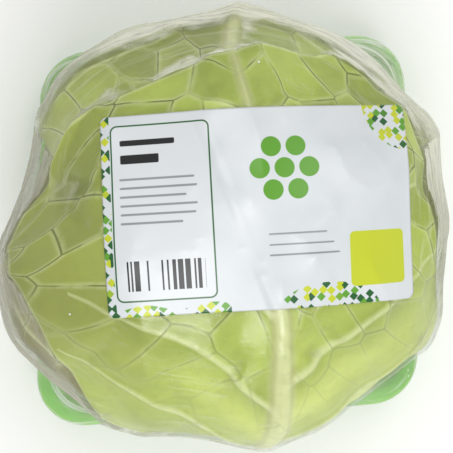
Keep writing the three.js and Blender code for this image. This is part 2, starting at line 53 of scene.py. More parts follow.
NOWHERE_MM = 9.0  # a distance that counts as nowhere near a vein or a printed shape
Array = np.ndarray


class Slot(Enum):
    """The record's material slots."""

    HEART = "heart_leaf"
    LEAF = "leaf"
    TRAY = "tray_foam"
    FILM = "film"
    LABEL = "label_paper"


# Small helpers for curves and noise


def smooth(share: Array | float) -> Array:
    """Eases 0 to 1 with level ends.

    Args:
        share: Any number; below 0 counts as 0 and above 1 as 1.

    Returns:
        The eased number.
    """
    x = np.clip(share, 0.0, 1.0)
    return x * x * (3.0 - 2.0 * x)


def hump(distance: Array, half_width: Array | float) -> Array:
    """Gives a rounded hump, 1 in the middle and 0 from one half width outwards.

    Args:
        distance: How far from the middle.
        half_width: Where the hump ends.

    Returns:
        The hump's height.
    """
    x = np.clip(distance / half_width, 0.0, 1.0)
    return (1.0 - x * x) ** 2


def turn_apart(azimuth: Array, middle: float) -> Array:
    """Gives the angle between azimuths in radians and one in degrees, from 0 to half a turn."""
    turn = np.abs(azimuth - math.radians(middle)) % (2.0 * math.pi)
    return np.minimum(turn, 2.0 * math.pi - turn)


def chance(*keys: Array | float) -> Array:
    """Gives a repeatable random number from 0 to 1 for each set of keys.

    Args:
        keys: Numbers that name the thing the random number is for.

    Returns:
        One number for each.
    """
    total = np.zeros(np.broadcast(*keys).shape)
    for weight, key in zip((12.9898, 78.233, 37.719, 4.581), keys):
        total = total + weight * np.asarray(key, dtype=float)
    value = np.sin(total) * 43758.5453
    return value - np.floor(value)


def drift(points: Array, pitch: float, seed: float) -> Array:
    """Gives slow waves over space, between about -1 and 1.

    Args:
        points: Places in millimetres, xyz last.
        pitch: Length of the longest wave in millimetres.
        seed: Shifts the waves.

    Returns:
        The height of the waves at each place.
    """
    total = np.zeros(points.shape[:-1])
    for octave in range(3):
        scale = 2.0 * math.pi / (pitch / 1.9**octave)
        angle = seed * 1.7 + octave * 2.1
        ways = np.array(
            [
                [math.cos(angle), math.sin(angle), 0.4],
                [-math.sin(angle), 0.5, math.cos(angle)],
                [0.3, math.cos(angle + 1.0), math.sin(angle + 1.0)],
            ]
        )
        waves = np.sin(points @ ways.T * scale + seed + octave)
        total += (waves[..., 0] * waves[..., 1] + 0.5 * waves[..., 2]) * 0.55**octave
    return total / 1.6


# The head's form, the same rules and sizes as the part's solids, in millimetres

HEAD_CENTRE = np.array([2.9, 1.6, 66.0])
AXIS = HEAD_CENTRE * (1.0, 1.0, 0.0)


@dataclass(frozen=True)
class HeartForm:
    """The tight ball of inner leaves."""

    across: float = 67.5
    up: float = 55.0
    down: float = 46.0
    lobes: tuple[tuple[float, int, float], ...] = (
        (0.016, 4, -math.pi / 2.0),
        (0.014, 3, 0.6),
        (0.009, 5, 2.1),
    )
    bulges: tuple[tuple[float, float, float], ...] = (
        (202.0, 36.0, 0.09),
        (152.0, 38.0, -0.088),
        (318.0, 34.0, 0.045),
    )
    unevenness: float = 0.7

    def radius(self, way: Array) -> Array:
        """Gives the ball's radius along unit directions.

        Args:
            way: Unit directions, xyz last.

        Returns:
            The radius in millimetres.
        """
        flat = way[..., 0] ** 2 + way[..., 1] ** 2
        half = np.where(way[..., 2] > 0, self.up, self.down)
        azimuth = np.arctan2(way[..., 1], way[..., 0])
        lobes = 1.0
        for share, count, phase in self.lobes:
            lobes = lobes + share * flat * np.sin(count * azimuth + phase)
        for middle, half_width, out in self.bulges:
            lobes = lobes + out * flat * hump(turn_apart(azimuth, middle), math.radians(half_width))
        ball = lobes / np.sqrt(flat / self.across**2 + way[..., 2] ** 2 / half**2)
        return ball + self.unevenness * drift(way * self.across, 90.0, 1.3)


@dataclass(frozen=True)
class BladeForm:
    """The sizes that all wrapper leaves share, in millimetres and degrees."""

    thickness: float = 0.8
    heart_gap: float = 1.6
    layer: float = 2.6
    ramp: float = 15.0
    start: float = 20.0
    petiole: float = 0.2
    roundness: float = 3.2
    blunt: float = 0.985
    edge_wave: float = 0.025
    edge_waves: float = 11.0
    rib_height: float = 3.4
    rib_half_width: float = 5.6
    rib_tip_half_width: float = 1.4
    rib_room: float = 14.0
    sweep: float = 27.0
    bend: float = 1.4
    crowding: float = 1.15
    least_relief: float = 0.9
    swell: float = 0.8
    swell_pitch: float = 62.0
    curl_from: float = 0.84


HEART = HeartForm()
BLADE = BladeForm()


@dataclass(frozen=True)
class LeafForm:
    """One wrapper leaf: where it grows, how far it reaches and how fine its mesh is.

    heading is where the midrib climbs, seen from above; side is how far the foot sits off the
    stem's axis; tip, left and right are the leaf's reach and half widths, all in degrees.
    """

    node: str
    heading: float
    side: float
    tip: float
    left: float
    right: float
    lift: float
    rows: int
    columns: int
    age: float
    opens: tuple[float, float] = (0.42, 0.42)
    closes: tuple[float, float] = (0.5, 0.5)

    def axes(self) -> tuple[Array, Array, Array]:
        """Gives the leaf's own axes.

        Returns:
            The directions of the foot, the heading and the leaf's right.
        """
        heading = math.radians(self.heading)
        side = math.radians(self.side)
        along = np.array([math.cos(heading), math.sin(heading), 0.0])
        level = np.array([-math.sin(heading), math.cos(heading), 0.0])
        base = np.array([0.0, 0.0, -math.cos(side)]) - level * math.sin(side)
        return base, along, np.cross(along, base)

    def way(self, reach: Array, turn: Array) -> Array:
        """Gives the unit direction at a reach from the foot and a turn to the right.

        Args:
            reach: Angle from the foot along the midrib, in radians.
            turn: Angle to the right of the midrib, in radians.

        Returns:
            Unit directions, xyz last.
        """
        base, along, across = self.axes()
        flat = np.cos(turn)[..., None]
        return (
            flat * np.cos(reach)[..., None] * base
            + flat * np.sin(reach)[..., None] * along
            + np.sin(turn)[..., None] * across
        )

    def place(self, way: Array) -> tuple[Array, Array]:
        """Gives the reach and turn of directions, the reverse of way.

        Args:
            way: Unit directions, xyz last.

        Returns:
            The reach from the foot and the turn to the right, in radians.
        """
        base, along, across = self.axes()
        turn = np.arcsin(np.clip(way @ across, -1.0, 1.0))
        reach = np.arctan2(way @ along, way @ base)
        behind = math.radians((BLADE.start + self.tip) / 2.0) - math.pi
        return np.where(reach < behind, reach + 2.0 * math.pi, reach), turn

    def share(self, reach: Array) -> Array:
        """Gives the share of the leaf's length at a reach."""
        start = math.radians(BLADE.start)
        return (reach - start) / (math.radians(self.tip) - start)

    def half_width(self, reach: Array, turn: Array) -> Array:
        """Gives how far the margin is from the midrib, on the side that turn lies on.

        Args:
            reach: Angle from the foot along the midrib, in radians.
            turn: Angle to the right of the midrib; only its sign counts.

        Returns:
            The half width as an angle in radians.
        """
        x = np.clip(self.share(reach), 0.0, BLADE.blunt)
        opens = np.where(turn < 0, *self.opens)
        opening = BLADE.petiole + (1.0 - BLADE.petiole) * smooth(x / opens)
        closes = np.where(turn < 0, *self.closes)
        u = np.clip((x - closes) / (1.0 - closes), 0.0, 1.0)
        closing = (1.0 - u**BLADE.roundness) ** (1.0 / BLADE.roundness)
        wave = 1.0 + BLADE.edge_wave * np.sin(BLADE.edge_waves * x + self.heading)
        side = np.where(turn < 0, self.left, self.right)
        return np.radians(side) * opening * closing * wave

    def rib_height(self, x: Array) -> Array:
        """Gives the midrib's height at a share of the leaf's length."""
        return BLADE.rib_height * smooth(0.3 + x / 0.16) * (1.0 - 0.88 * np.clip(x, 0.0, 1.0))

    def rib_half_width(self, x: Array) -> Array:
        """Gives the midrib's half width at a share of the leaf's length."""
        return BLADE.rib_tip_half_width + BLADE.rib_half_width * (1.0 - np.clip(x, 0.0, 1.0))

    def cover(self, reach: Array, turn: Array, radius: Array) -> Array:
        """Gives where the leaf lies, with a ramp outside its margin.

        Args:
            reach: Angle from the foot along the midrib, in radians.
            turn: Angle to the right of the midrib, in radians.
            radius: The radius there, in millimetres.

        Returns:
            1 on the leaf, falling to 0 over the ramp.
        """
        width = self.half_width(reach, turn)
        inside = np.minimum(width - np.abs(turn), reach - math.radians(BLADE.start))
        inside = np.minimum(inside, math.radians(self.tip) - reach)
        return smooth(1.0 + inside * radius / BLADE.ramp)


LEAVES = (
    LeafForm("wrapper_leaf_1", 24, 0, 168, 58, 56, 0.0, 90, 70, 0.1),
    LeafForm("wrapper_leaf_2", 142, 0, 172, 57, 60, 0.0, 90, 70, 0.1),
    LeafForm("wrapper_leaf_3", 236, 0, 160, 55, 55, 0.0, 90, 70, 0.2),
    LeafForm("wrapper_leaf_4", -28, 2, 158, 56, 52, 0.4, 150, 110, 0.5),
    LeafForm("wrapper_leaf_5", 188, -3, 150, 54, 56, 0.4, 150, 110, 0.9),
    LeafForm("wrapper_leaf_6", 84, 3, 170, 62, 64, 0.5, 170, 130, 0.4),
    LeafForm("wrapper_leaf_7", -84, 12, 232, 80, 55, 1.2, 260, 180, 0.0, (0.82, 0.56), (0.68, 0.4)),
)


def support(index: int, way: Array) -> Array:
    """Gives the radius of the inner face of a leaf: the heart with every leaf beneath it.

    Args:
        index: The leaf's place in LEAVES.
        way: Unit directions, xyz last.

    Returns:
        The radius in millimetres.
    """
    heart = HEART.radius(way)
    radius = heart + BLADE.heart_gap
    for leaf in LEAVES[:index]:
        reach, turn = leaf.place(way)
        x = leaf.share(reach)
        half = leaf.rib_half_width(x) * 0.6
        rib = leaf.rib_height(x) * smooth((half + BLADE.rib_room - np.abs(turn) * heart) / BLADE.rib_room)
        radius = radius + leaf.cover(reach, turn, heart) * (BLADE.layer + rib)
    return radius


@dataclass(frozen=True)
class VeinForm:
    """The side veins and the net of flat facets between them, in millimetres and degrees.

    Side veins leave the midrib at even steps and climb towards the tip, steeply at first. The net
    is a pattern of irregular polygons that is laid along and across them.
    """

    climb_left: float = 60.0
    climb_right: float = 40.0
    climb_turn: float = 50.0
    first_left: float = 61.0
    first_right: float = 71.0
    pitch: float = 30.0
    height: float = 1.1
    half_width: float = 1.3
    reach_out: float = 62.0
    cell: float = 17.0
    row_pitch: float = 29.0
    row_power: float = 1.5
    skew: float = 0.6
    randomness: float = 0.78
    flat_radius: float = 52.0
    slant: float = 0.78
    fades_at: float = 0.84
    fades_over: float = 0.3
    foot_width: float = 2.4

    def climb(self, turn: Array) -> Array:
        """Gives how far a side vein has climbed, as an angle, at a turn from the midrib."""
        most = np.radians(np.where(turn < 0, self.climb_left, self.climb_right))
        return most * (1.0 - np.exp(-np.abs(turn) / math.radians(self.climb_turn)))


VEINS = VeinForm()


# Blender helpers: colour, nodes, meshes


def srgb(code: str) -> tuple[float, float, float, float]:
    """Turns an sRGB hex colour into Blender's linear one.

    Args:
        code: Six hex digits after a hash.

    Returns:
        Linear red, green and blue, with an alpha of 1.
    """
    parts = [int(code[i : i + 2], 16) / 255.0 for i in (1, 3, 5)]
    linear = [c / 12.92 if c <= 0.04045 else ((c + 0.055) / 1.055) ** 2.4 for c in parts]
    return (linear[0], linear[1], linear[2], 1.0)


def add_node(
    tree: bpy.types.NodeTree, kind: str, inputs: dict | None = None, **settings: object
) -> bpy.types.Node:
    """Adds a node with its settings and links.

    Args:
        tree: The node tree that it goes into.
        kind: Blender's name of the node's type.
        inputs: Socket name or number to a value, or to an output socket to link from.
        settings: The node's own properties.

    Returns:
        The new node.
    """
    node = tree.nodes.new(kind)
    for name, value in settings.items():
        setattr(node, name, value)
    for name, value in (inputs or {}).items():
        if isinstance(value, bpy.types.NodeSocket):
            tree.links.new(value, node.inputs[name])
        else:
            node.inputs[name].default_value = value
    return node


class Step(Enum):
    """One step of a finish: its node's type, the output to read, the inputs to fill, its settings."""

    ADD = ("Math", 0, (0, 1), {"operation": "ADD"})
    SUBTRACT = ("Math", 0, (0, 1), {"operation": "SUBTRACT"})
    MULTIPLY = ("Math", 0, (0, 1), {"operation": "MULTIPLY"})
    MULTIPLY_ADD = ("Math", 0, (0, 1, 2), {"operation": "MULTIPLY_ADD"})
    MATH = ("Math", 0, (0, 1), {})
    RAMP = ("MapRange", 0, (0, 1, 2, 3, 4), {"interpolation_type": "SMOOTHSTEP"})
    MIX = ("Mix", 2, (0, 6, 7), {"data_type": "RGBA"})
    NUMBER = ("Attribute", "Fac", (), {})
    VECTOR = ("Attribute", "Vector", (), {})
    HERE = ("TexCoord", "Object", (), {})
    PARTS = ("SeparateXYZ", "X", (0,), {})
    CHANNELS = ("SeparateColor", 0, (0,), {})
    STRETCH = ("VectorMath", 0, (0, 1), {"operation": "MULTIPLY"})
    ENLARGE = ("VectorMath", 0, (0, "Scale"), {"operation": "SCALE"})
    LESS = ("VectorMath", 0, (0, 1), {"operation": "SUBTRACT"})
    DOT = ("VectorMath", "Value", (0, 1), {"operation": "DOT_PRODUCT"})
    NOISE = ("TexNoise", 0, ("Vector", "Scale", "Detail", "Roughness", "Distortion"), {})
    STATIC = ("TexWhiteNoise", "Value", ("W",), {"noise_dimensions": "1D"})
    BEAD = ("TexVoronoi", "Distance", ("Vector", "Scale"), {})
    CELL = ("TexVoronoi", "Distance", ("Vector", "Scale", "Randomness"), {"voronoi_dimensions": "2D"})
    FACING = ("LayerWeight", "Facing", ("Blend",), {})
    BUMP = ("Bump", 0, ("Strength", "Distance", "Height"), {})
    MATT = ("BsdfDiffuse", 0, ("Color",), {})
    GLOW = ("BsdfTranslucent", 0, ("Color",), {})
    CLEAR = ("BsdfTransparent", 0, ("Color",), {})
    GLOSS = ("BsdfGlossy", 0, ("Color", "Roughness", "Normal"), {})
    BLEND = ("MixShader", 0, (0, 1, 2), {})


def pitch(size_mm: float) -> float:
    """Gives the texture scale whose features are about a size in millimetres across."""
    return 1.0 / (size_mm * MM)


class Graph:
    """A finish in the making, written step by step."""

    def __init__(self, name: str) -> None:
        """Starts an empty material.

        Args:
            name: The material's name.
        """
        self.material = bpy.data.materials.new(name)
        self.material.use_nodes = True
        self.tree = self.material.node_tree
        self.tree.nodes.clear()

    def add(self, step: Step, *values: object, **settings: object) -> bpy.types.NodeSocket:
        """Adds one step and gives what comes out of it.

        Args:
            step: What the step does.
            values: A number, vector, colour or socket for each input, in the step's order.
            settings: The node's properties beyond the step's own.

        Returns:
            The output socket.
        """
        kind, output, inputs, fixed = step.value
        node = add_node(self.tree, f"ShaderNode{kind}", dict(zip(inputs, values)), **fixed, **settings)
        return node.outputs[output]

    def inside(self, name: str) -> bpy.types.NodeSocket:
        """Gives 1 inside a printed shape and 0 outside, from its distance in millimetres."""
        return self.add(Step.RAMP, self.add(Step.NUMBER, attribute_name=name), -0.1, 0.1, 1.0, 0.0)

    def coats(self, first: str, *coats: tuple[object, object]) -> bpy.types.NodeSocket:
        """Lays colours over a first one.

        Args:
            first: The undermost colour in hex.
            coats: For each coat, the share that covers, and its colour in hex or as a socket.

        Returns:
            The colour that shows.
        """
        colour = srgb(first)
        for share, coat in coats:
            colour = self.add(Step.MIX, share, colour, srgb(coat) if isinstance(coat, str) else coat)
        return colour

    def finish(self, shader: bpy.types.NodeSocket) -> bpy.types.Material:
        """Links the surface and hands over the material."""
        add_node(self.tree, "ShaderNodeOutputMaterial", {"Surface": shader})
        return self.material


def new_mesh(
    name: str, points: Array, faces: list | Array, fields: dict[str, Array] | None = None
) -> bpy.types.Object:
    """Makes an object from points in millimetres.

    Args:
        name: The object's name.
        points: One row of xyz for each point.
        faces: Rows of point numbers, three or four to a face.
        fields: Name to one number, or one row of three, for each point; stored on the mesh.

    Returns:
        The object, smooth shaded, in the scene.
    """
    mesh = bpy.data.meshes.new(name)
    mesh.from_pydata((points * MM).tolist(), [], [list(face) for face in faces])
    for field_name, values in (fields or {}).items():
        is_vector = np.ndim(values) == 2
        attribute = mesh.attributes.new(field_name, "FLOAT_VECTOR" if is_vector else "FLOAT", "POINT")
        kind = "vector" if is_vector else "value"
        attribute.data.foreach_set(kind, np.asarray(values, dtype=np.float32).ravel())
    mesh.polygons.foreach_set("use_smooth", np.ones(len(mesh.polygons), dtype=bool))
    mesh.update()
    piece = bpy.data.objects.new(name, mesh)
    bpy.context.scene.collection.objects.link(piece)
    return piece


def grid_faces(rows: int, columns: int, start: int = 0, around: bool = False, flip: bool = False) -> Array:
    """Gives the four-sided faces of a grid of points.

    Args:
        rows: Number of rows of points.
        columns: Number of points in a row.
        start: Number of the first point.
        around: Whether each row closes on itself.
        flip: Whether the faces look the other way.

    Returns:
        One row of four point numbers for each face.
    """
    i, k = np.meshgrid(np.arange(rows - 1), np.arange(columns if around else columns - 1), indexing="ij")
    after = (k + 1) % columns
    corners = [i * columns + k, i * columns + after, (i + 1) * columns + after, (i + 1) * columns + k]
    faces = np.stack([corner.ravel() + start for corner in corners], axis=1)
    return faces[:, ::-1] if flip else faces


def capped_faces(rows: int, columns: int) -> list[list[int]]:
    """Gives the faces of closed rings of points, with a point that caps each end.

    Args:
        rows: Number of rings.
        columns: Number of points in a ring.

    Returns:
        The faces. The first ring's cap and the last ring's cap are the two points after the rings.
    """
    faces = [list(face) for face in grid_faces(rows, columns, around=True, flip=True)]
    count = rows * columns
    last = count - columns
    for k in range(columns):
        after = (k + 1) % columns
        faces += [[count, k, after], [count + 1, last + after, last + k]]
    return faces


def closed_sheet(outer: Array, inner: Array) -> tuple[Array, Array]:
    """Joins two grids of points into one closed sheet.

    Args:
        outer: Points of the outer face, row by row.
        inner: Points of the inner face, in the same order.

    Returns:
        All points, and the faces between them.
    """
    rows, columns = outer.shape[:2]
    count = rows * columns
    points = np.concatenate([outer.reshape(-1, 3), inner.reshape(-1, 3)])
    edge = np.concatenate(
        [
            np.arange(columns - 1),
            np.arange(rows - 1) * columns + columns - 1,
            np.arange(columns - 1, 0, -1) + (rows - 1) * columns,
            np.arange(rows - 1, 0, -1) * columns,
        ]
    )
    after = np.roll(edge, -1)
    rim = np.stack([edge, edge + count, after + count, after], axis=1)
    faces = [grid_faces(rows, columns), grid_faces(rows, columns, count, flip=True), rim]
    return points, np.concatenate(faces)


def direction(down: Array, azimuth: Array) -> Array:
    """Gives the unit direction at an angle from straight up and an azimuth."""
    level = np.sin(down)
    return np.stack([level * np.cos(azimuth), level * np.sin(azimuth), np.cos(down)], axis=-1)


def from_centre(way: Array, radius: Array) -> Array:
    """Gives the points at a radius from the head's centre."""
    return HEAD_CENTRE + way * np.asarray(radius)[..., None]


def solid_tree(pieces: list[bpy.types.Object]) -> BVHTree:
    """Gathers the faces of finished pieces so that rays can be cast at them.

    Args:
        pieces: The objects, whose meshes hold their places.

    Returns:
        One tree for all of them.
    """
    points = []
    faces = []
    for piece in pieces:
        start = len(points)
        points.extend(vertex.co[:] for vertex in piece.data.vertices)
        faces.extend(tuple(start + n for n in polygon.vertices) for polygon in piece.data.polygons)
    return BVHTree.FromPolygons(points, faces)


def both_faces(fields: dict[str, Array]) -> dict[str, Array]:
    """Repeats fields that are laid out in a grid for the outer and the inner face of a sheet."""
    flat = {name: values.reshape(-1, *values.shape[2:]) for name, values in fields.items()}
    return {name: np.concatenate([values, values]) for name, values in flat.items()}


def settle(piece: bpy.types.Object, material: bpy.types.Material, slot: Slot, *nodes: str) -> None:
    """Gives a piece its finish and its place in the frame.

    Args:
        piece: The finished object.
        material: What it is made of.
        slot: The record's slot for it; not used.
        nodes: The part's nodes that it stands for.
    """
    piece.data.materials.clear()
    piece.data.materials.append(material)
    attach(piece, BODY)
    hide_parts(*nodes)
    LOG.info("%s: %d faces", piece.name, len(piece.data.polygons))


# Finishes


@dataclass(frozen=True)
class CabbageLeaf:
    """Waxy cabbage leaf seen from its back: green between pale raised veins.

    The wax makes it satin rather than shiny. Old crests have thin brown rub marks.
    Some light and shade is painted into the colour: facet tones that follow each facet's tilt,
    lighter panels beside the laterals and on the right, darker olive on the left, and dark
    crease lines with pale highlights along the facet edges.
    """

    name: str
    # Some of these colours carry painted light: the lit facet and panel colours, the dull olive of the
    # shaded left side, and the dark crease line.
    green: str = "#93a33f"
    light: str = "#b5c557"
    painted_lit_panel: str = "#d0db78"
    olive_and_shade_colour: str = "#8c9140"
    pale: str = "#dfe3ae"
    rib: str = "#d6d9a4"
    line: str = "#727b38"
    rubbed: str = "#7f8444"
    stain: str = "#8d8455"
    stain_share: float = 0.0
    roughness: float = 0.4
    patch_mm: float = 30.0
    stain_mm: float = 34.0
    break_mm: float = 16.0
    rub_mm: float = 3.4
    grain_mm: float = 0.9

    def make(self) -> bpy.types.Material:
        """Builds the material.

        Returns:
            The material, ready for its pieces.
        """
        g = Graph(self.name)
        add = g.add
        here = add(Step.HERE)
        place = add(Step.VECTOR, attribute_name="net_place")
        names = ("net_strength", "lateral_mm", "rib_mm", "panel", "margin_mm", "olive_and_left_shade")
        strength, lateral, rib, panel, margin, olive_and_left_shade = (add(Step.NUMBER, attribute_name=n) for n in names)
        facet = add(Step.CELL, place, 1.0, VEINS.randomness).node.outputs
        edge = add(Step.CELL, place, 1.0, VEINS.randomness, feature="DISTANCE_TO_EDGE")
        edge = add(Step.MULTIPLY, edge, VEINS.cell)
        patches = add(Step.NOISE, here, pitch(self.patch_mm), 3.0, 0.55, 0.5)
        spots = add(Step.NOISE, here, pitch(self.stain_mm), 3.0, 0.55)
        breaks = add(Step.NOISE, here, pitch(self.break_mm), 2.0, 0.55)
        fine = add(Step.NOISE, here, pitch(self.rub_mm), 5.0, 0.6)
        grain = add(Step.NOISE, here, pitch(self.grain_mm), 2.0, 0.5)
        # Each facet's tone follows its tilt in the bump below: painted facet shading, laid in the light
        # colour with random patches.
        facet_shading = add(Step.SUBTRACT, add(Step.CHANNELS, facet["Color"]), 0.5)
        facet_shading = add(Step.MULTIPLY, facet_shading, add(Step.MULTIPLY, strength, 0.9))
        lit = add(Step.ADD, add(Step.RAMP, patches, 0.3, 0.7, 0.1, 0.75), facet_shading)
        stained = add(Step.MULTIPLY, add(Step.RAMP, spots, 0.4, 0.6), self.stain_share)
        # Pale band beside each facet edge: painted highlight along the ridges.
        beside = add(Step.MULTIPLY, add(Step.RAMP, edge, 0.2, 2.1, 0.42, 0.0), strength)
        beside = add(Step.MULTIPLY, beside, add(Step.RAMP, fine, 0.3, 0.6, 0.3, 1.0))
        streak = add(Step.RAMP, rib, -0.9, 0.4, 1.0, 0.0)
        streak = add(Step.MULTIPLY, add(Step.RAMP, rib, -2.4, -1.2, 0.0, 1.0), streak)
        # Dark line along the facet edges: painted shade in the creases, partly brown crease marks.
        line = add(Step.MULTIPLY, add(Step.RAMP, breaks, 0.36, 0.52, 0.15, 1.0), strength)
        line = add(Step.MULTIPLY, add(Step.RAMP, edge, 0.12, 0.5, 1.0, 0.0), line)
        colour = g.coats(
            self.green,
            (lit, self.light),
            # Paler towards the base, with painted light on alternate panels and on the right side.
            (panel, self.painted_lit_panel),
            # Darker olive on the left side: olive tint and painted shade.
            (add(Step.MULTIPLY, olive_and_left_shade, 0.7), self.olive_and_shade_colour),
            (stained, self.stain),
            (beside, self.pale),
            (add(Step.RAMP, lateral, -0.9, 0.9, 0.64, 0.0), self.pale),
            (add(Step.RAMP, rib, -2.8, 1.6, 0.82, 0.0), self.rib),
            (add(Step.MULTIPLY, streak, 0.2), self.stain),
            (line, self.line),
            (add(Step.RAMP, margin, 0.3, 1.4, 0.5, 0.0), self.pale),
            (add(Step.RAMP, fine, 0.4, 0.8, 0.0, 0.2), self.rubbed),
        )
        away = add(Step.LESS, place, facet["Position"])
        lean = add(Step.LESS, facet["Color"], (0.5, 0.5, 0.5))
        slope = add(Step.MULTIPLY, strength, VEINS.cell * 0.5)
        slope = add(Step.MULTIPLY, add(Step.DOT, away, lean), slope)
        relief = add(Step.ADD, add(Step.MULTIPLY, fine, 0.3), add(Step.MULTIPLY, grain, 0.12))
        shader = add_node(
            g.tree,
            "ShaderNodeBsdfPrincipled",
            {
                "Base Color": colour,
                "Roughness": self.roughness,
                "IOR": 1.43,
                "Subsurface Weight": 0.1,
                "Subsurface Radius": (0.6, 1.0, 0.25),
                "Subsurface Scale": 0.003,
                "Normal": add(Step.BUMP, 0.8, MM, add(Step.ADD, relief, slope)),
            },
        )
        return g.finish(shader.outputs[0])


@dataclass(frozen=True)
class PolystyreneFoam:
    """Mint green expanded polystyrene, moulded: fine beads just show under a soft skin."""

    name: str = "mint_polystyrene_foam"
    colour: str = "#93cd69"
    shade: str = "#7fbd57"
    bead_mm: float = 2.2
    bead_depth_mm: float = 0.4
    patch_mm: float = 22.0

    def make(self) -> bpy.types.Material:
        """Builds the material.

        Returns:
            The material, ready for its pieces.
        """
        g = Graph(self.name)
        here = g.add(Step.HERE)
        beads = g.add(Step.BEAD, here, pitch(self.bead_mm))
        patches = g.add(Step.RAMP, g.add(Step.NOISE, here, pitch(self.patch_mm), 3.0, 0.55), 0.35, 0.65)
        shader = add_node(
            g.tree,
            "ShaderNodeBsdfPrincipled",
            {
                "Base Color": g.coats(self.shade, (patches, self.colour)),
                "Roughness": 0.6,
                "IOR": 1.4,
                "Subsurface Weight": 0.6,
                "Subsurface Radius": (0.7, 1.0, 0.6),
                "Subsurface Scale": 0.012,
                "Normal": g.add(Step.BUMP, 0.3, self.bead_depth_mm * MM, beads),
            },
        )
        return g.finish(shader.outputs[0])


@dataclass(frozen=True)
class StretchFilm:
    """Clear PVC cling film: all but unseen where it clings, grey where it spans a hollow.

    Fine crease lines, painted as shade, and a sharp gloss show where it is pulled over an edge.
    The grey veil is partly painted reflection; white streaks and glints are painted highlights.
    """

    name: str = "clear_stretch_film"
    # The veil colours are partly painted reflection; fold is the painted crease shade; streak is the white
    # of the painted streaks and glints.
    haze_and_reflection: str = "#fbfbee"
    grey: str = "#cbc8b6"
    fold: str = "#86877a"
    streak: str = "#f4f6f2"
    span_haze_and_reflection: float = 0.54
    edge_haze_and_reflection: float = 0.26
    glint_pitch_mm: float = 8.0
    patch_mm: float = 16.0
    glint_cluster_mm: float = 30.0
    dimple_mm: float = 5.0

    def make(self) -> bpy.types.Material:
        """Builds the material.

        Returns:
            The material, ready for its pieces.
        """
        g = Graph(self.name)
        add = g.add
        here = add(Step.HERE)
        gap = add(Step.NUMBER, attribute_name="gap_mm")
        loose = add(Step.NUMBER, attribute_name="loose")
        way = add(Step.VECTOR, attribute_name="film_way")
        facing = add(Step.FACING, 0.5)
        height = add(Step.PARTS, here).node.outputs["Z"]
        patches = add(Step.NOISE, here, pitch(self.patch_mm), 3.0, 0.5, 1.2)
        wide = add(Step.NOISE, add(Step.STRETCH, way, (1.5, 1.5, 9.0)), 1.0, 3.0, 0.5, 0.4)
        pleat = add(Step.NOISE, add(Step.STRETCH, way, (2.4, 2.4, 64.0)), 1.0, 2.0, 0.6, 0.3)
        ragged = add(Step.MULTIPLY_ADD, add(Step.SUBTRACT, patches, 0.5), 3.0, gap)
        ragged = add(Step.SUBTRACT, ragged, add(Step.RAMP, height, 0.08, 0.105, 0.0, 1.1))
        spans = add(Step.RAMP, height, 0.03, 0.08, 0.34, 1.0)
        spans = add(Step.MULTIPLY, add(Step.RAMP, ragged, 0.8, 2.2), spans)
        # The veil is partly the film's own cloudiness and partly painted reflection, whiter where the film
        # spans a gap and at grazing angles.
        band = add(Step.RAMP, wide, 0.38, 0.62, 0.15, 1.0)
        grazing_haze_and_reflection = add(Step.MULTIPLY, add(Step.RAMP, facing, 0.1, 0.9), self.edge_haze_and_reflection)
        haze_and_reflection = add(Step.MULTIPLY, spans, add(Step.MULTIPLY_ADD, band, self.span_haze_and_reflection, grazing_haze_and_reflection))
        haze_and_reflection = add(Step.MULTIPLY, haze_and_reflection, add(Step.RAMP, loose, 0.0, 1.4, 0.45, 1.75))
        # Painted highlights: thin white streaks along the pleats, low on the film.
        streak = add(Step.RAMP, height, 0.024, 0.07, 1.0, 0.15)
        streak = add(Step.MULTIPLY, streak, add(Step.RAMP, gap, 0.3, 1.0))
        streak = add(Step.MULTIPLY, add(Step.RAMP, pleat, 0.52, 0.66), streak)
        streak = add(Step.MULTIPLY, streak, add(Step.RAMP, loose, 0.0, 0.8, 0.3, 1.2))
        # Painted shade: thin dark lines along the film's creases.
        crease_shade_lines = add(Step.MATH, add(Step.SUBTRACT, pleat, 0.47), operation="ABSOLUTE")
        crease_shade_lines = add(Step.RAMP, crease_shade_lines, 0.006, 0.03, 0.55, 0.0)
        veil = g.coats(self.grey, (add(Step.RAMP, loose, 0.3, 1.0), self.haze_and_reflection), (crease_shade_lines, self.fold))
        cloudy = add(Step.BLEND, 0.36, add(Step.MATT, veil), add(Step.GLOW, veil))
        body = add(Step.BLEND, haze_and_reflection, add(Step.CLEAR, (0.985, 0.99, 0.985, 1.0)), cloudy)
        # Painted highlights: small white glints in scattered clusters, laid on with the streaks in the
        # streak white.
        glint_clusters = add(Step.RAMP, add(Step.NOISE, here, pitch(self.glint_cluster_mm), 1.0, 0.55), 0.5, 0.56)
        glint = add(Step.RAMP, add(Step.BEAD, here, pitch(self.glint_pitch_mm)), 0.02, 0.06, 1.0, 0.0)
        glint = add(Step.MULTIPLY, add(Step.MULTIPLY, glint, glint_clusters), 0.9)
        shown = add(Step.MATH, add(Step.MULTIPLY, streak, 0.36), glint, operation="MAXIMUM")
        body = add(Step.BLEND, shown, body, add(Step.MATT, srgb(self.streak)))
        relief = add(Step.MULTIPLY, add(Step.NOISE, here, pitch(self.dimple_mm), 3.0, 0.55), 0.35)
        relief = add(Step.ADD, add(Step.MULTIPLY, pleat, 0.5), relief)
        gloss = add(Step.GLOSS, (1.0, 1.0, 1.0, 1.0), 0.1, add(Step.BUMP, 0.5, MM, relief))
        sheen = add(Step.MULTIPLY_ADD, add(Step.MATH, facing, 4.0, operation="POWER"), 0.2, 0.02)
        return g.finish(add(Step.BLEND, sheen, body, gloss))


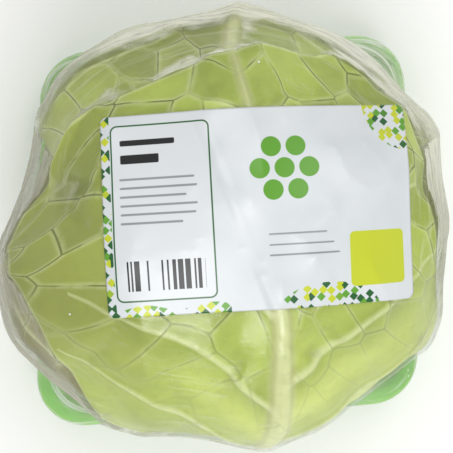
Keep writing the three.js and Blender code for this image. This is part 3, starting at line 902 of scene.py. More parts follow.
@dataclass(frozen=True)
class CoatedLabelPaper:
    """White coated label paper with a generic print in greens, satin from its varnish.

    The print is a mosaic of small diamonds, plain dots and ruled lines, without any lettering.
    """

    name: str = "coated_label_paper"
    paper: str = "#d2d6d8"
    shade: str = "#c3c9cc"
    dark_green: str = "#1d5a28"
    leaf_green: str = "#5d9a2d"
    lime: str = "#bcc62c"
    grey: str = "#6f7476"
    ink: str = "#17191a"
    tile_mm: float = 2.7
    bar_mm: float = 0.55
    mottle_mm: float = 22.0

    def make(self) -> bpy.types.Material:
        """Builds the material.

        Returns:
            The material, ready for its pieces.
        """
        g = Graph(self.name)
        add = g.add
        place = add(Step.VECTOR, attribute_name="print_place")
        tiles = add(Step.ENLARGE, place, 1.0 / self.tile_mm)
        tile = add(Step.CELL, tiles, 1.0, 0.85, distance="MANHATTAN").node.outputs
        pick = add(Step.CHANNELS, tile["Color"])
        tile_colour = g.coats(
            self.dark_green,
            (add(Step.RAMP, pick, 0.3, 0.34), self.leaf_green),
            (add(Step.RAMP, pick, 0.62, 0.66), self.lime),
        )
        mosaic = add(Step.RAMP, tile["Distance"], 0.5, 0.54, 1.0, 0.0)
        mosaic = add(Step.MULTIPLY, mosaic, g.inside("mosaic_mm"))
        mottle = add(Step.NOISE, add(Step.HERE), pitch(self.mottle_mm), 3.0, 0.55)
        within = add(Step.NUMBER, attribute_name="panel_mm")
        along = add(Step.PARTS, place)
        number = add(Step.MATH, add(Step.MATH, along, self.bar_mm, operation="DIVIDE"), operation="FLOOR")
        bars = add(Step.MATH, add(Step.STATIC, number), 0.52, operation="GREATER_THAN")
        colour = g.coats(
            self.paper,
            (add(Step.RAMP, mottle, 0.3, 0.7, 0.0, 0.6), self.shade),
            (mosaic, tile_colour),
            (g.inside("patch_mm"), self.lime),
            (g.inside("dots_mm"), self.leaf_green),
            (g.inside("panel_mm"), self.dark_green),
            (add(Step.RAMP, within, -0.6, -0.4, 1.0, 0.0), self.paper),
            (add(Step.MULTIPLY, g.inside("rules_mm"), 0.8), self.grey),
            (add(Step.MULTIPLY, bars, g.inside("code_mm")), self.ink),
            (g.inside("title_mm"), self.ink),
        )
        inputs = {"Base Color": colour, "Roughness": 0.28, "IOR": 1.5}
        return g.finish(add_node(g.tree, "ShaderNodeBsdfPrincipled", inputs).outputs[0])


# Geometry Nodes


def net_tree() -> bpy.types.NodeTree:
    """Builds the node group that raises a leaf's net: flat facets between sharp ridges.

    It reads net_place, where each whole number is one cell, and net_strength, and lifts the
    surface by the square of the distance from the cell's middle. That takes the blade's own
    roundness out of each cell, so that cells are flat and meet in ridges.

    Returns:
        The node group, with inputs Geometry, Edge height and Material.
    """
    tree = bpy.data.node_groups.new("raise_leaf_net", "GeometryNodeTree")
    for name, kind in (("Geometry", "Geometry"), ("Edge height", "Float"), ("Material", "Material")):
        tree.interface.new_socket(name, in_out="INPUT", socket_type=f"NodeSocket{kind}")
    tree.interface.new_socket("Geometry", in_out="OUTPUT", socket_type="NodeSocketGeometry")
    given = add_node(tree, "NodeGroupInput").outputs
    kinds = {"net_place": "FLOAT_VECTOR", "net_strength": "FLOAT", "outer_face": "FLOAT"}
    place, strength, outer = (
        add_node(tree, "GeometryNodeInputNamedAttribute", {"Name": name}, data_type=kind).outputs[0]
        for name, kind in kinds.items()
    )
    inputs = {"Vector": place, "Scale": 1.0, "Randomness": VEINS.randomness}
    cell = add_node(tree, "ShaderNodeTexVoronoi", inputs, voronoi_dimensions="2D", feature="F1")
    distance = cell.outputs["Distance"]
    square = add_node(tree, "ShaderNodeMath", {0: distance, 1: distance}, operation="MULTIPLY").outputs[0]
    for factor in (given["Edge height"], strength, outer):
        square = add_node(tree, "ShaderNodeMath", {0: square, 1: factor}, operation="MULTIPLY").outputs[0]
    position = add_node(tree, "GeometryNodeInputPosition").outputs[0]
    centre = tuple(HEAD_CENTRE * MM)
    away = add_node(tree, "ShaderNodeVectorMath", {0: position, 1: centre}, operation="SUBTRACT")
    away = add_node(tree, "ShaderNodeVectorMath", {0: away.outputs[0]}, operation="NORMALIZE")
    lift = add_node(tree, "ShaderNodeVectorMath", {0: away.outputs[0], "Scale": square}, operation="SCALE")
    inputs = {"Geometry": given["Geometry"], "Offset": lift.outputs[0]}
    raised = add_node(tree, "GeometryNodeSetPosition", inputs)
    real = add_node(tree, "GeometryNodeRealizeInstances", {"Geometry": raised.outputs[0]})
    inputs = {"Geometry": real.outputs[0], "Material": given["Material"]}
    painted = add_node(tree, "GeometryNodeSetMaterial", inputs)
    add_node(tree, "NodeGroupOutput", {"Geometry": painted.outputs[0]})
    return tree


def apply_tree(piece: bpy.types.Object, tree: bpy.types.NodeTree, values: dict[str, object]) -> None:
    """Runs a node group on a piece and keeps the result as its plain mesh.

    Args:
        piece: The object, whose mesh is replaced.
        tree: The node group.
        values: Input name to value.
    """
    modifier = piece.modifiers.new(tree.name, "NODES")
    modifier.node_group = tree
    for item in tree.interface.items_tree:
        if item.in_out == "INPUT" and item.name in values:
            modifier[item.identifier] = values[item.name]
    piece.data.update()
    graph = bpy.context.evaluated_depsgraph_get()
    result = piece.evaluated_get(graph)
    plain = bpy.data.meshes.new_from_object(result, preserve_all_data_layers=True, depsgraph=graph)
    piece.modifiers.clear()
    piece.data = plain


# Sub-assemblies


@dataclass
class WrapperLeaves:
    """The seven leaves round the heart, from the innermost to the outermost."""

    forms: tuple[LeafForm, ...] = LEAVES
    old_from: float = 0.8
    young_green: str = "#93a33f"
    old_green: str = "#71693e"
    old_stain: float = 0.8

    def relief(self, index: int, reach: Array, turn: Array, aside: Array, radius: Array) -> dict[str, Array]:
        """Works out what stands out of a blade, and what its finish needs to know.

        Args:
            index: The leaf's place among the forms.
            reach: Angle from the foot along the midrib in radians.
            turn: Angle from the midrib in radians.
            aside: Share of the way from the midrib to the margin.
            radius: Radius of the inner face.

        Returns:
            Name to one number or vector for each point; "height" is in millimetres.
        """
        leaf = self.forms[index]
        x = leaf.share(reach)
        beside = np.abs(turn) * radius
        rib_mm = beside - leaf.rib_half_width(x)
        rib = leaf.rib_height(x) * hump(beside, leaf.rib_half_width(x) * 1.25)
        rooted = reach - VEINS.climb(turn)
        first = np.where(turn < 0, VEINS.first_left, VEINS.first_right)
        number = (np.degrees(rooted) - first) / VEINS.pitch
        off_vein = np.abs(number - np.round(number)) * math.radians(VEINS.pitch) * radius * VEINS.slant
        strength = np.clip(1.0 - np.degrees(np.abs(turn)) / VEINS.reach_out, 0.0, 1.0)
        strength = strength * np.clip((VEINS.fades_at - x) / VEINS.fades_over, 0.0, 1.0)
        half = VEINS.half_width * (0.35 + 0.65 * strength)
        lateral_mm = np.where(strength < 0.05, NOWHERE_MM, off_vein - half)
        laterals = VEINS.height * smooth(strength * 3.0) * (0.4 + 0.6 * strength)
        laterals = laterals * hump(off_vein, half * VEINS.foot_width)
        # Painted light: the panels on one side of each lateral, and more on the right, are lit; the panel
        # field is also paler towards the base.
        painted_lit_panel = np.where((turn > 0) | (np.floor(number) % 2 == 1), 1.0, 0.0)
        edge = smooth(off_vein / 6.0)
        painted_lit_panel = painted_lit_panel * np.where(turn > 0, 1.3, 1.0)
        panel = smooth((0.66 - x) / 0.2) * (0.55 * painted_lit_panel * edge + 0.25) * (0.7 + 0.3 * np.sin(number * 9.0))
        share = leaf.share(rooted)
        length = math.radians(leaf.tip - BLADE.start) * radius.mean()
        along = np.sign(share) * np.abs(share) ** VEINS.row_power * length / VEINS.row_pitch
        across = (np.abs(turn) + VEINS.skew * reach + 0.3 * turn) * radius.mean() / VEINS.cell
        place = np.stack([across + 11.0 * index, along + 0.5 * index, np.zeros(along.shape)], axis=-1)
        net_strength = smooth((x - 0.46) / 0.28) * smooth(rib_mm / 4.0 + 0.2) * 0.87 + 0.13
        # Olive tint with painted shade over the left side.
        olive_and_left_shade = smooth((-np.degrees(turn) - 14.0) / 46.0) * smooth((x - 0.42) / 0.2)
        margin_mm = np.minimum((1.0 - aside) * 60.0, (leaf.share(reach).max() - x) * length)
        wave = 0.5 + 0.5 * np.sin(BLADE.edge_waves * 2.0 * x + 3.0 * leaf.heading)
        margin = (leaf.lift + 0.3) * smooth((aside - BLADE.curl_from) / (1.0 - BLADE.curl_from)) * wave
        swell = BLADE.swell * drift(leaf.way(reach, turn) * 75.0, BLADE.swell_pitch, 2.0 + index)
        swell = np.maximum(swell, -BLADE.swell) + BLADE.least_relief
        return {
            "height": np.maximum(rib, laterals) + margin + swell,
            "lateral_mm": lateral_mm,
            "rib_mm": rib_mm,
            "panel": panel,
            "olive_and_left_shade": olive_and_left_shade,
            "margin_mm": margin_mm,
            "net_strength": net_strength,
            "net_place": place,
        }

    @staticmethod
    def reach(leaf: LeafForm, row: Array, aside: Array) -> Array:
        """Gives the reach of a row of points, which sweeps towards the tip beside the midrib.

        Args:
            leaf: The leaf.
            row: Share of the leaf's length on the midrib.
            aside: Share of the way out to the margin.

        Returns:
            The angle from the foot, in radians.
        """
        length = math.radians(leaf.tip - BLADE.start) * BLADE.blunt
        swept = 4.0 * row * (1.0 - row) * math.radians(BLADE.sweep) * aside**BLADE.bend
        return math.radians(BLADE.start) + length * row + swept

    def blade(self, index: int) -> bpy.types.Object:
        """Builds one leaf as a closed sheet with its ribs in relief.

        Args:
            index: The leaf's place among the forms.

        Returns:
            The leaf, without its net and its finish.
        """
        leaf = self.forms[index]
        row, share = np.meshgrid(
            np.linspace(0.0, 1.0, leaf.rows), np.linspace(-1.0, 1.0, leaf.columns + 1), indexing="ij"
        )
        off = np.sign(share) * np.abs(share) ** BLADE.crowding
        reach = self.reach(leaf, row, np.abs(off))
        turn = off * leaf.half_width(reach, off)
        way = leaf.way(reach, turn)
        inner = support(index, way)
        fields = self.relief(index, reach, turn, np.abs(off), inner)
        outer = inner + BLADE.thickness + fields.pop("height")
        points, faces = closed_sheet(from_centre(way, outer), from_centre(way, inner))
        doubled = both_faces(fields)
        doubled["outer_face"] = np.repeat([1.0, 0.0], inner.size)
        return new_mesh(f"{leaf.node}_dressed", points, faces, doubled)

    def build(self) -> list[bpy.types.Object]:
        """Builds and dresses every leaf.

        Returns:
            The finished leaves, from the innermost to the outermost.
        """
        tree = net_tree()
        pieces = []
        for index, leaf in enumerate(self.forms):
            finish = CabbageLeaf(
                f"cabbage_leaf_{index + 1}",
                green=self.young_green if leaf.age < self.old_from else self.old_green,
                stain_share=leaf.age * self.old_stain,
            )
            material = finish.make()
            piece = self.blade(index)
            edge_height = VEINS.cell**2 / (2.0 * VEINS.flat_radius) * MM
            apply_tree(piece, tree, {"Edge height": edge_height, "Material": material})
            settle(piece, material, Slot.LEAF, leaf.node)
            pieces.append(piece)
        return pieces


@dataclass
class Heart:
    """The ball of inner leaves on the stem's cut stub."""

    rings: int = 110
    columns: int = 180
    stem_height: float = 5.3
    stem_radius: float = 13.5
    stem_flare: float = 17.0
    stem_top: float = 21.0
    crease_height: float = 0.7
    creases: float = 9.0
    crease_slant: float = 5.0

    def build(self) -> bpy.types.Object:
        """Builds and dresses the heart.

        Returns:
            The finished heart.
        """
        azimuth = np.arange(self.columns) / self.columns * 2.0 * math.pi
        lowest = math.pi - math.atan2(self.stem_flare, HEAD_CENTRE[2] - self.stem_top)
        down = np.linspace(0.0, 1.0, self.rings + 1)[1:] * lowest
        down, around = np.meshgrid(down, azimuth, indexing="ij")
        way = direction(down, around)
        wave = np.sin(self.creases * around + self.crease_slant * down)
        radius = HEART.radius(way) + self.crease_height * (0.5 + 0.5 * wave) * np.sin(down)
        ball = from_centre(way, radius)
        stem = []
        for size, height in (
            (self.stem_radius + 0.8, self.stem_top - 7.0),
            (self.stem_radius, self.stem_height + 1.2),
            (self.stem_radius - 1.2, self.stem_height),
        ):
            ring = [size * np.cos(azimuth), size * np.sin(azimuth), np.full(self.columns, height)]
            stem.append(AXIS + np.stack(ring, axis=-1))
        rings = np.concatenate([ball, np.array(stem)])
        top = HEAD_CENTRE + np.array([0.0, 0.0, float(HEART.radius(np.array([0.0, 0.0, 1.0])))])
        points = np.concatenate([rings.reshape(-1, 3), [top], [AXIS + (0.0, 0.0, self.stem_height)]])
        faces = capped_faces(len(rings), self.columns)
        fields = {
            "lateral_mm": np.full(len(points), NOWHERE_MM),
            "rib_mm": np.full(len(points), NOWHERE_MM),
            "panel": np.full(len(points), 0.5),
            "olive_and_left_shade": np.zeros(len(points)),
            "margin_mm": np.full(len(points), NOWHERE_MM),
            "net_strength": np.zeros(len(points)),
            "net_place": points / VEINS.cell,
        }
        piece = new_mesh("heart_dressed", points, faces, fields)
        settle(piece, CabbageLeaf("pale_heart_leaf").make(), Slot.HEART, "heart")
        return piece


@dataclass
class FoamTray:
    """The square foam tray with rounded corners, flared sides and a narrow lip."""

    under: float = 0.9
    height: float = 20.0
    floor: float = 4.0
    wall: float = 3.2
    base_half: float = 56.0
    rim_half: float = 71.5
    base_corner: float = 16.0
    rim_corner: float = 19.0
    lip: float = 2.6
    lip_thickness: float = 2.6
    corner_points: int = 24
    bows: tuple[tuple[float, float, float], ...] = ((218.0, 34.0, 0.066), (138.0, 32.0, -0.025))

    def bow(self, azimuth: Array, height: float) -> Array:
        """Gives how far out the head's weight pushes the tray, or in the film draws it, as a factor.

        Args:
            azimuth: Angles round the axis, in radians.
            height: Height in millimetres.

        Returns:
            A factor for each angle, 1 where the tray keeps its shape.
        """
        share = float(np.clip((height - self.under) / self.height, 0.0, 1.0))
        factor = np.ones(azimuth.shape)
        for middle, half_width, out in self.bows:
            factor = factor + out * hump(turn_apart(azimuth, middle), math.radians(half_width)) * share
        return factor

    def ring(self, half: float, corner: float, height: float) -> Array:
        """Gives the points of a square with rounded corners.

        Args:
            half: Half the square's side, in millimetres.
            corner: The corners' radius.
            height: How high it lies.

        Returns:
            One row of xyz for each point.
        """
        points = []
        for side in range(4):
            middle = (side + 0.5) * math.pi / 2.0
            for k in range(self.corner_points):
                angle = (side + k / (self.corner_points - 1)) * math.pi / 2.0
                points.append(
                    [
                        math.copysign(half - corner, math.cos(middle)) + corner * math.cos(angle),
                        math.copysign(half - corner, math.sin(middle)) + corner * math.sin(angle),
                        height,
                    ]
                )
        flat = np.array(points)
        flat[:, :2] *= self.bow(np.arctan2(flat[:, 1], flat[:, 0]), height)[:, None]
        return AXIS + flat

    def build(self) -> bpy.types.Object:
        """Builds and dresses the tray.

        Returns:
            The finished tray.
        """
        floor = self.under + self.floor
        rim = self.under + self.height
        wall_half = self.rim_half - self.lip
        wall_corner = self.rim_corner - self.lip
        inside = wall_half - self.wall
        profile = (
            (inside - 13.5, self.base_corner - 6.0, floor),
            (inside - 12.4, self.base_corner - 5.0, floor + 0.4),
            (inside - 11.0, self.base_corner - 3.0, floor + 1.6),
            (inside, wall_corner - self.wall, rim - 0.7),
            (inside + 0.5, wall_corner - self.wall + 0.5, rim - 0.2),
            (inside + 1.4, wall_corner - self.wall + 1.4, rim),
            (self.rim_half - 0.8, self.rim_corner - 0.8, rim),
            (self.rim_half - 0.2, self.rim_corner - 0.2, rim - 0.3),
            (self.rim_half, self.rim_corner, rim - 0.8),
            (self.rim_half, self.rim_corner, rim - self.lip_thickness),
            (wall_half, wall_corner, rim - self.lip_thickness - 0.5),
            (self.base_half + 1.6, self.base_corner + 1.0, self.under + 1.8),
            (self.base_half + 0.5, self.base_corner + 0.4, self.under + 0.4),
            (self.base_half, self.base_corner, self.under),
        )
        rings = [self.ring(*step) for step in profile]
        columns = len(rings[0])
        points = np.concatenate(rings + [AXIS + np.array([[0.0, 0.0, floor], [0.0, 0.0, self.under]])])
        piece = new_mesh("foam_tray", points, capped_faces(len(rings), columns))
        settle(piece, PolystyreneFoam().make(), Slot.TRAY, "tray")
        return piece


def square_reach(half: float, corner: float, azimuth: Array) -> Array:
    """Gives the distance from the axis to the edge of a rounded square.

    Args:
        half: Half the square's side.
        corner: The corners' radius.
        azimuth: Angles round the axis, in radians.

    Returns:
        The distance along each.
    """
    a = np.abs(np.cos(azimuth))
    b = np.abs(np.sin(azimuth))
    flat = half / np.maximum(a, b)
    inner = half - corner
    rounded = inner * (a + b) + np.sqrt(np.maximum(0.0, corner**2 - (inner * (a - b)) ** 2))
    return np.where(flat * np.minimum(a, b) <= inner, flat, rounded)


@dataclass
class FilmWrap:
    """The stretch film, drawn tight over the head and the tray's rim and tucked under its base.

    slack is how far it stands off the head's side, in millimetres, at each twelfth of a turn from
    +X. It starts slack_from radians down from the crown, comes on over slack_ramp, and is gone
    slack_foot above the rim. looseness is how cloudy the film lies at each eighth of a turn.
    """

    columns: int = 320
    rings_above: int = 116
    rings_lip: int = 3
    rings_beside: int = 16
    rings_under: int = 9
    clear: float = 0.22
    thickness: float = 0.12
    opening: float = 30.0
    above_ground: float = 0.04
    slack_from: float = 0.92
    slack_ramp: float = 0.4
    slack_foot: float = 0.35
    ripple_height: float = 0.22
    coarse_steps: tuple[int, ...] = (8, 4, 2, 1)
    slack: tuple[float, ...] = (3.4, 2.0, 2.4, 2.6, 3.0, 1.4, 2.2, 2.6, 1.3, 0.9, 0.9, 1.2, 3.4)
    looseness: tuple[float, ...] = (0.7, 1.15, 1.4, 0.6, 0.4, 0.45, 0.6, 0.0, 0.7)
    passes: int = 160
    tray: FoamTray | None = None

    def ways(self) -> Array:
        """Gives the film's directions.

        Returns:
            Unit directions, ring by ring from the crown to the opening.
        """
        tray = self.tray
        azimuth = np.arange(self.columns) / self.columns * 2.0 * math.pi
        rim = square_reach(tray.rim_half, tray.rim_corner, azimuth)
        rim = rim * tray.bow(azimuth, tray.under + tray.height) + 0.3
        base = square_reach(tray.base_half, tray.base_corner, azimuth) + 0.6
        opening = self.opening + 4.0 * np.sin(3 * azimuth + 1.0) + 2.5 * np.sin(7 * azimuth + 0.4)
        top = tray.under + tray.height

        def down_to(reach: Array, height: float) -> Array:
            """Gives the angle from straight up of points at a reach and a height."""
            return math.pi - np.arctan2(reach, HEAD_CENTRE[2] - height)

        marks = [
            (np.zeros(self.columns), 0),
            (down_to(rim, top + 0.2), self.rings_above),
            (down_to(rim, top - tray.lip_thickness), self.rings_lip),
            (down_to(base, self.thickness), self.rings_beside),
            (down_to(opening, self.thickness), self.rings_under),
        ]
        rings = []
        for (first, _), (last, count) in zip(marks, marks[1:]):
            for step in range(1, count + 1):
                rings.append(first + (last - first) * step / count)
        return direction(np.array(rings), azimuth)

    def held(self, ways: Array, contents: list[bpy.types.Object]) -> Array:
        """Feels from outside how far the contents reach.

        Args:
            ways: The film's directions, ring by ring.
            contents: What the film is wrapped round.

        Returns:
            The least radius along each direction, in millimetres.
        """
        tree = solid_tree(contents)
        centre = Vector(HEAD_CENTRE * MM)
        far = 0.3
        reached = np.zeros(ways.shape[:2])
        for i in range(ways.shape[0]):
            for k in range(ways.shape[1]):
                way = Vector(ways[i, k])
                hit = tree.ray_cast(centre + way * far, -way)
                reached[i, k] = (far - hit[3]) / MM if hit[3] is not None else 0.0
        return reached + self.clear

    def relax(self, ways: Array, held: Array) -> Array:
        """Draws the film tight over what holds it out, coarsely first and then finely.

        It is worked out in 1 / radius, in which a flat stretch of film is the exact mean of its
        neighbours.

        Args:
            ways: The film's directions, ring by ring.
            held: The least radius that the contents leave it.

        Returns:
            The radius of the film's inner face along each direction.
        """
        base = self.rings_above + self.rings_lip + self.rings_beside - 1
        floor = (HEAD_CENTRE[2] - self.thickness) / np.maximum(-ways[..., 2], 0.2)
        held = held.copy()
        held[base:] = floor[base:]
        close = 1.0 / held
        close[:base] = np.minimum(close[:base], 1.0 / 80.0)
        every = np.arange(ways.shape[0])
        for step in self.coarse_steps:
            rings = np.unique(np.append(np.arange(0, base, step), np.arange(base, ways.shape[0])))
            free = int(np.sum(rings < base))
            way = ways[rings][: free + 1, ::step]
            least = 1.0 / held[rings][: free + 1, ::step]
            part = np.minimum(close[rings][: free + 1, ::step], least)
            down = np.arccos(way[..., 2])
            to_above = np.diff(down, axis=0, prepend=0.0)[:free]
            to_below = np.diff(down, axis=0)
            total = to_above + to_below
            beside = np.roll(way, 1, 1)[:free] + np.roll(way, -1, 1)[:free]
            span = np.linalg.norm(beside, axis=-1)
            rise = down[:free] - np.arccos(beside[..., 2] / span)
            for _ in range(self.passes):
                crown = np.full((1, part.shape[1]), part[0].mean() / way[0, 0, 2])
                above = np.concatenate([crown, part[: free - 1]])
                below = part[1:]
                up_down = (above * np.sin(to_below) + below * np.sin(to_above)) / np.sin(total)
                across = (np.roll(part, 1, 1)[:free] + np.roll(part, -1, 1)[:free]) / span
                across = across + rise * (below - above) / total
                part[:free] = np.minimum(least[:free], (up_down + across) / 2.0)
            wide = np.empty((free + 1, ways.shape[1]))
            spots = np.arange(ways.shape[1]) / step
            for n in range(free + 1):
                wide[n] = np.interp(spots, np.arange(part.shape[1] + 1), np.append(part[n], part[n, 0]))
            for k in range(ways.shape[1]):
                close[:base, k] = np.interp(every[:base], rings[: free + 1], wide[:, k])
            close = np.minimum(close, 1.0 / held)
        return 1.0 / close

    def build(self, contents: list[bpy.types.Object]) -> bpy.types.Object:
        """Builds and dresses the film.

        Args:
            contents: The finished pieces that it is wrapped round.

        Returns:
            The finished film.
        """
        ways = self.ways()
        held = self.held(ways, contents)
        radius = self.relax(ways, held)
        azimuth = np.arctan2(ways[..., 1], ways[..., 0])
        down = np.arccos(np.clip(ways[..., 2], -1.0, 1.0))
        slack = np.interp(np.degrees(azimuth) % 360.0, np.arange(13) * 30.0, self.slack)
        slack = slack * smooth((down - self.slack_from) / self.slack_ramp)
        slack = slack * smooth((down[self.rings_above - 1] - down) / self.slack_foot)
        radius = radius + slack
        gap = radius - held
        free = smooth((gap - 0.5) / 3.0)
        ripple = np.sin(down * 38.0 + 2.6 * np.sin(azimuth * 3.0 + 1.0) + 1.2 * np.sin(azimuth * 7.0))
        finer = np.sin(down * 74.0 - 3.0 * np.sin(azimuth * 5.0) + 1.5 * np.sin(azimuth * 11.0))
        ripple = ripple + 0.6 * finer
        film_way = np.stack([np.cos(azimuth), np.sin(azimuth), down], axis=-1)
        base = self.rings_above + self.rings_lip + self.rings_beside - 1
        fade = np.ones(ways.shape[:2])
        fade[base:] = 0.0
        radius = radius + self.ripple_height * ripple * free * fade
        outer = from_centre(ways, radius + self.thickness)
        under = (HEAD_CENTRE[2] - self.above_ground) / np.maximum(-ways[base:, :, 2], 0.2)
        outer[base:] = from_centre(ways[base:], under)
        inner = from_centre(ways, radius)
        rings = np.concatenate([outer, inner[::-1]])
        crown = float(np.mean(radius[0] * ways[0, :, 2]))
        poles = HEAD_CENTRE + np.array([[0.0, 0.0, crown + self.thickness], [0.0, 0.0, crown]])
        points = np.concatenate([rings.reshape(-1, 3), poles])
        loose = np.interp(np.degrees(azimuth) % 360.0, np.arange(9) * 45.0, self.looseness)
        loose = np.append(np.concatenate([loose, loose[::-1]]).ravel(), [0.5, 0.5])
        gaps = np.concatenate([gap, gap[::-1]]).ravel()
        all_ways = np.concatenate([film_way, film_way[::-1]]).reshape(-1, 3)
        fields = {
            "gap_mm": np.append(gaps, [gaps[0], gaps[0]]),
            "film_way": np.append(all_ways, [[0.0, 0.0, 0.0]] * 2, axis=0),
            "loose": loose,
        }
        piece = new_mesh("stretch_film_wrap", points, capped_faces(len(rings), self.columns), fields)
        settle(piece, StretchFilm().make(), Slot.FILM, "stretch_film")
        return piece


@dataclass
class PaperLabel:
    """The paper label stuck to the film on top, bare but for a generic print."""

    centre: tuple[float, float] = (10.5, 5.0)
    width: float = 96.0
    depth: float = 62.0
    turn: float = 0.5
    corner: float = 2.0
    thickness: float = 0.12
    columns: int = 190
    rows: int = 124
    fold_at: float = -7.5
    fold_slant: float = 0.34
    fold_half_width: float = 2.6
    fold_height: float = 0.5
    clear: float = 0.15
    rounds: int = 400

    def print_fields(self, u: Array, v: Array) -> dict[str, Array]:
        """Gives the print as distances in millimetres, below 0 inside each shape.

        Args:
            u: Place along the label from its middle.
            v: Place across it from its middle.

        Returns:
            Name to one distance for each point; "print_place" is the place itself.
        """

        def box(x: float, y: float, half_x: float, half_y: float, corner: float) -> Array:
            """Gives the distance to a box with rounded corners.

            Args:
                x: Middle along the label.
                y: Middle across it.
                half_x: Half the box's length.
                half_y: Half its depth.
                corner: Its corners' radius.

            Returns:
                The distance of each point, below 0 inside.
            """
            qx = np.abs(u - x) - half_x + corner
            qy = np.abs(v - y) - half_y + corner
            outside = np.hypot(np.maximum(qx, 0.0), np.maximum(qy, 0.0))
            return outside + np.minimum(np.maximum(qx, qy), 0.0) - corner

        def rules(x: float, top: float, apart: float, count: int, half: float, thick: float) -> Array:
            """Gives the distance to a block of level lines of uneven length.

            Args:
                x: Middle of the block along the label.
                top: Place of the first line across it.
                apart: Distance from line to line.
                count: Number of lines.
                half: Half the longest line's length.
                thick: Half a line's thickness.

            Returns:
                The distance of each point, below 0 inside.
            """
            lines = np.full(u.shape, NOWHERE_MM)
            for n in range(count):
                short = half * (0.75 + 0.25 * float(chance(n, x)))
                lines = np.minimum(lines, box(x - half + short, top - apart * n, short, thick, 0.1))
            return lines

        edge = np.abs(u + 47.2) - 1.9
        foot = v + 30.2 - 1.8 * (1.0 + 0.5 * np.sin(u * 0.3))
        hill = np.hypot((u - 20.0) / 1.9, v + 32.0) - 8.5
        corner = np.hypot(u - 47.0, (v - 32.0) / 1.2) - 13.0
        foot = np.where(u < -10.0, foot, NOWHERE_MM)
        mosaic = np.minimum(np.minimum(edge, foot), np.minimum(hill, corner))
        dots = np.full(u.shape, NOWHERE_MM)
        for n in range(7):
            angle = n * math.pi / 3.0
            away = 0.0 if n == 6 else 7.6
            x = 8.0 + away * math.cos(angle)
            y = 12.0 + away * math.sin(angle)
            dots = np.minimum(dots, np.hypot(u - x, v - y) - 3.1)
        panel = box(-29.6, 0.8, 15.4, 27.2, 2.2)
        lines = np.minimum(rules(-30.0, 11.0, 2.7, 6, 12.5, 0.35), rules(13.0, -8.0, 3.2, 3, 11.0, 0.3))
        return {
            "print_place": np.stack([u, v, np.zeros(u.shape)], axis=-1),
            "mosaic_mm": mosaic,
            "dots_mm": dots,
            "panel_mm": panel,
            "rules_mm": lines,
            "title_mm": np.minimum(box(-33.5, 22.3, 8.5, 0.9, 0.3), box(-36.0, 17.2, 6.0, 1.4, 0.3)),
            "code_mm": box(-29.5, -18.5, 12.0, 4.6, 0.1),
            "patch_mm": box(36.0, -17.0, 9.0, 8.5, 1.5),
        }

    def build(self, film: bpy.types.Object) -> bpy.types.Object:
        """Builds and dresses the label.

        Args:
            film: The finished film that it is stuck to.

        Returns:
            The finished label.
        """
        v, u = np.meshgrid(
            np.linspace(-0.5, 0.5, self.rows) * self.depth,
            np.linspace(-0.5, 0.5, self.columns) * self.width,
            indexing="ij",
        )
        half_u = self.width / 2.0 - self.corner
        half_v = self.depth / 2.0 - self.corner
        past_u = np.maximum(np.abs(u) - half_u, 0.0)
        past_v = np.maximum(np.abs(v) - half_v, 0.0)
        past = np.hypot(past_u, past_v)
        longest = np.maximum(np.maximum(past_u, past_v), 1e-9)
        pull = np.where(past > 0, longest / np.maximum(past, 1e-9), 1.0)
        u = np.sign(u) * (np.minimum(np.abs(u), half_u) + past_u * pull)
        v = np.sign(v) * (np.minimum(np.abs(v), half_v) + past_v * pull)
        turn = math.radians(self.turn)
        x = AXIS[0] + self.centre[0] + u * math.cos(turn) - v * math.sin(turn)
        y = AXIS[1] + self.centre[1] + u * math.sin(turn) + v * math.cos(turn)
        tree = solid_tree([film])
        least = np.zeros(x.shape)
        for i in range(x.shape[0]):
            for k in range(x.shape[1]):
                hit = tree.ray_cast(Vector((x[i, k] * MM, y[i, k] * MM, 0.3)), Vector((0, 0, -1)))
                least[i, k] = hit[0].z / MM
        height = least + 0.4
        for _ in range(self.rounds):
            mean = height.copy()
            beside = height[:-2, 1:-1] + height[2:, 1:-1] + height[1:-1, :-2] + height[1:-1, 2:]
            mean[1:-1, 1:-1] = beside / 4.0
            mean[0, 1:-1] = (height[0, :-2] + height[0, 2:]) / 2.0
            mean[-1, 1:-1] = (height[-1, :-2] + height[-1, 2:]) / 2.0
            mean[1:-1, 0] = (height[:-2, 0] + height[2:, 0]) / 2.0
            mean[1:-1, -1] = (height[:-2, -1] + height[2:, -1]) / 2.0
            height = np.maximum(least, mean)
        fold = hump(np.abs(u + self.fold_slant * v - self.fold_at), self.fold_half_width)
        height = height + self.clear + self.fold_height * fold * (0.6 + 0.4 * np.sin(v * 0.12))
        lower = np.stack([x, y, height], axis=-1)
        away = lower - HEAD_CENTRE
        upper = lower + away / np.linalg.norm(away, axis=-1, keepdims=True) * self.thickness
        points, faces = closed_sheet(upper, lower)
        piece = new_mesh("paper_label", points, faces, both_faces(self.print_fields(u, v)))
        settle(piece, CoatedLabelPaper().make(), Slot.LABEL, "label")
        return piece


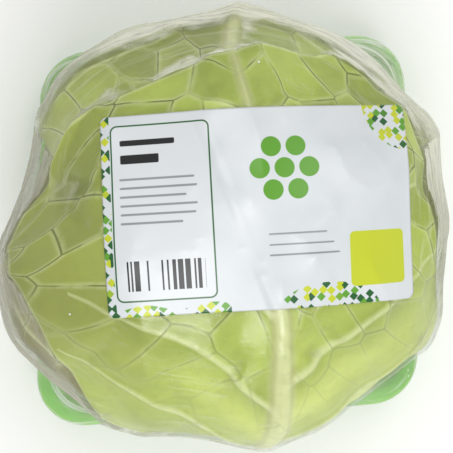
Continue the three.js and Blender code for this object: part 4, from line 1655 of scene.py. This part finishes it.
@dataclass
class Studio:
    """A plain pale floor, soft light and the camera straight above."""

    camera_height: float = 0.516
    lens: float = 101.6
    roll: float = 2.7
    aim: tuple[float, float, float] = (0.0, 0.0, 0.06)
    world_strength: float = 0.62
    floor_half_mm: float = 4000.0
    floor_colour: str = "#f6f6f4"

    def floor(self) -> None:
        """Lays the floor."""
        g = Graph("pale_studio_floor")
        inputs = {"Base Color": srgb(self.floor_colour), "Roughness": 0.8}
        shader = add_node(g.tree, "ShaderNodeBsdfPrincipled", inputs)
        size = self.floor_half_mm
        points = np.array([[-size, -size, 0.0], [size, -size, 0.0], [size, size, 0.0], [-size, size, 0.0]])
        ground = new_mesh("floor", points, [[0, 1, 2, 3]])
        ground.data.materials.append(g.finish(shader.outputs[0]))

    def lamp(self, name: str, place: tuple[float, float, float], size: float, watts: float) -> None:
        """Adds one square soft light that looks at the head.

        Args:
            name: The light's name.
            place: Where it hangs, in metres.
            size: Its side, in metres.
            watts: Its power.
        """
        light = bpy.data.lights.new(name, "AREA")
        light.energy = watts
        light.size = size
        lamp = bpy.data.objects.new(name, light)
        lamp.location = place
        aim = Vector(self.aim) - Vector(place)
        lamp.rotation_euler = aim.to_track_quat("-Z", "Y").to_euler()
        bpy.context.scene.collection.objects.link(lamp)

    def build(self) -> None:
        """Sets up the light, the floor and the camera."""
        world = bpy.data.worlds.new("soft_studio")
        world.use_nodes = True
        sky = world.node_tree.nodes["Background"].inputs
        sky["Color"].default_value = (1.0, 1.0, 1.0, 1.0)
        sky["Strength"].default_value = self.world_strength
        bpy.context.scene.world = world
        bpy.context.scene.view_settings.view_transform = "Standard"
        self.floor()
        self.lamp("key_softbox", (0.12, -0.7, 1.0), 0.7, 6.9)
        self.lamp("top_softbox", (0.2, 0.6, 1.1), 0.9, 4.1)
        camera = bpy.data.cameras.new("camera")
        camera.lens = self.lens
        camera.clip_end = 50.0
        eye = bpy.data.objects.new("camera", camera)
        place = Vector(AXIS * MM) + Vector((0.0, 0.0, self.camera_height))
        eye.matrix_world = Matrix.Translation(place) @ Matrix.Rotation(math.radians(-self.roll), 4, "Z")
        bpy.context.scene.collection.objects.link(eye)
        bpy.context.scene.camera = eye


def main() -> None:
    """Builds the wrapped cabbage and its studio, piece by piece."""
    logging.basicConfig(level=logging.INFO, format="%(message)s")
    Studio().build()
    heart = Heart().build()
    leaves = WrapperLeaves().build()
    tray = FoamTray()
    foam = tray.build()
    film = FilmWrap(tray=tray).build([heart, *leaves, foam])
    PaperLabel().build(film)


if __name__ == "__main__":
    main()
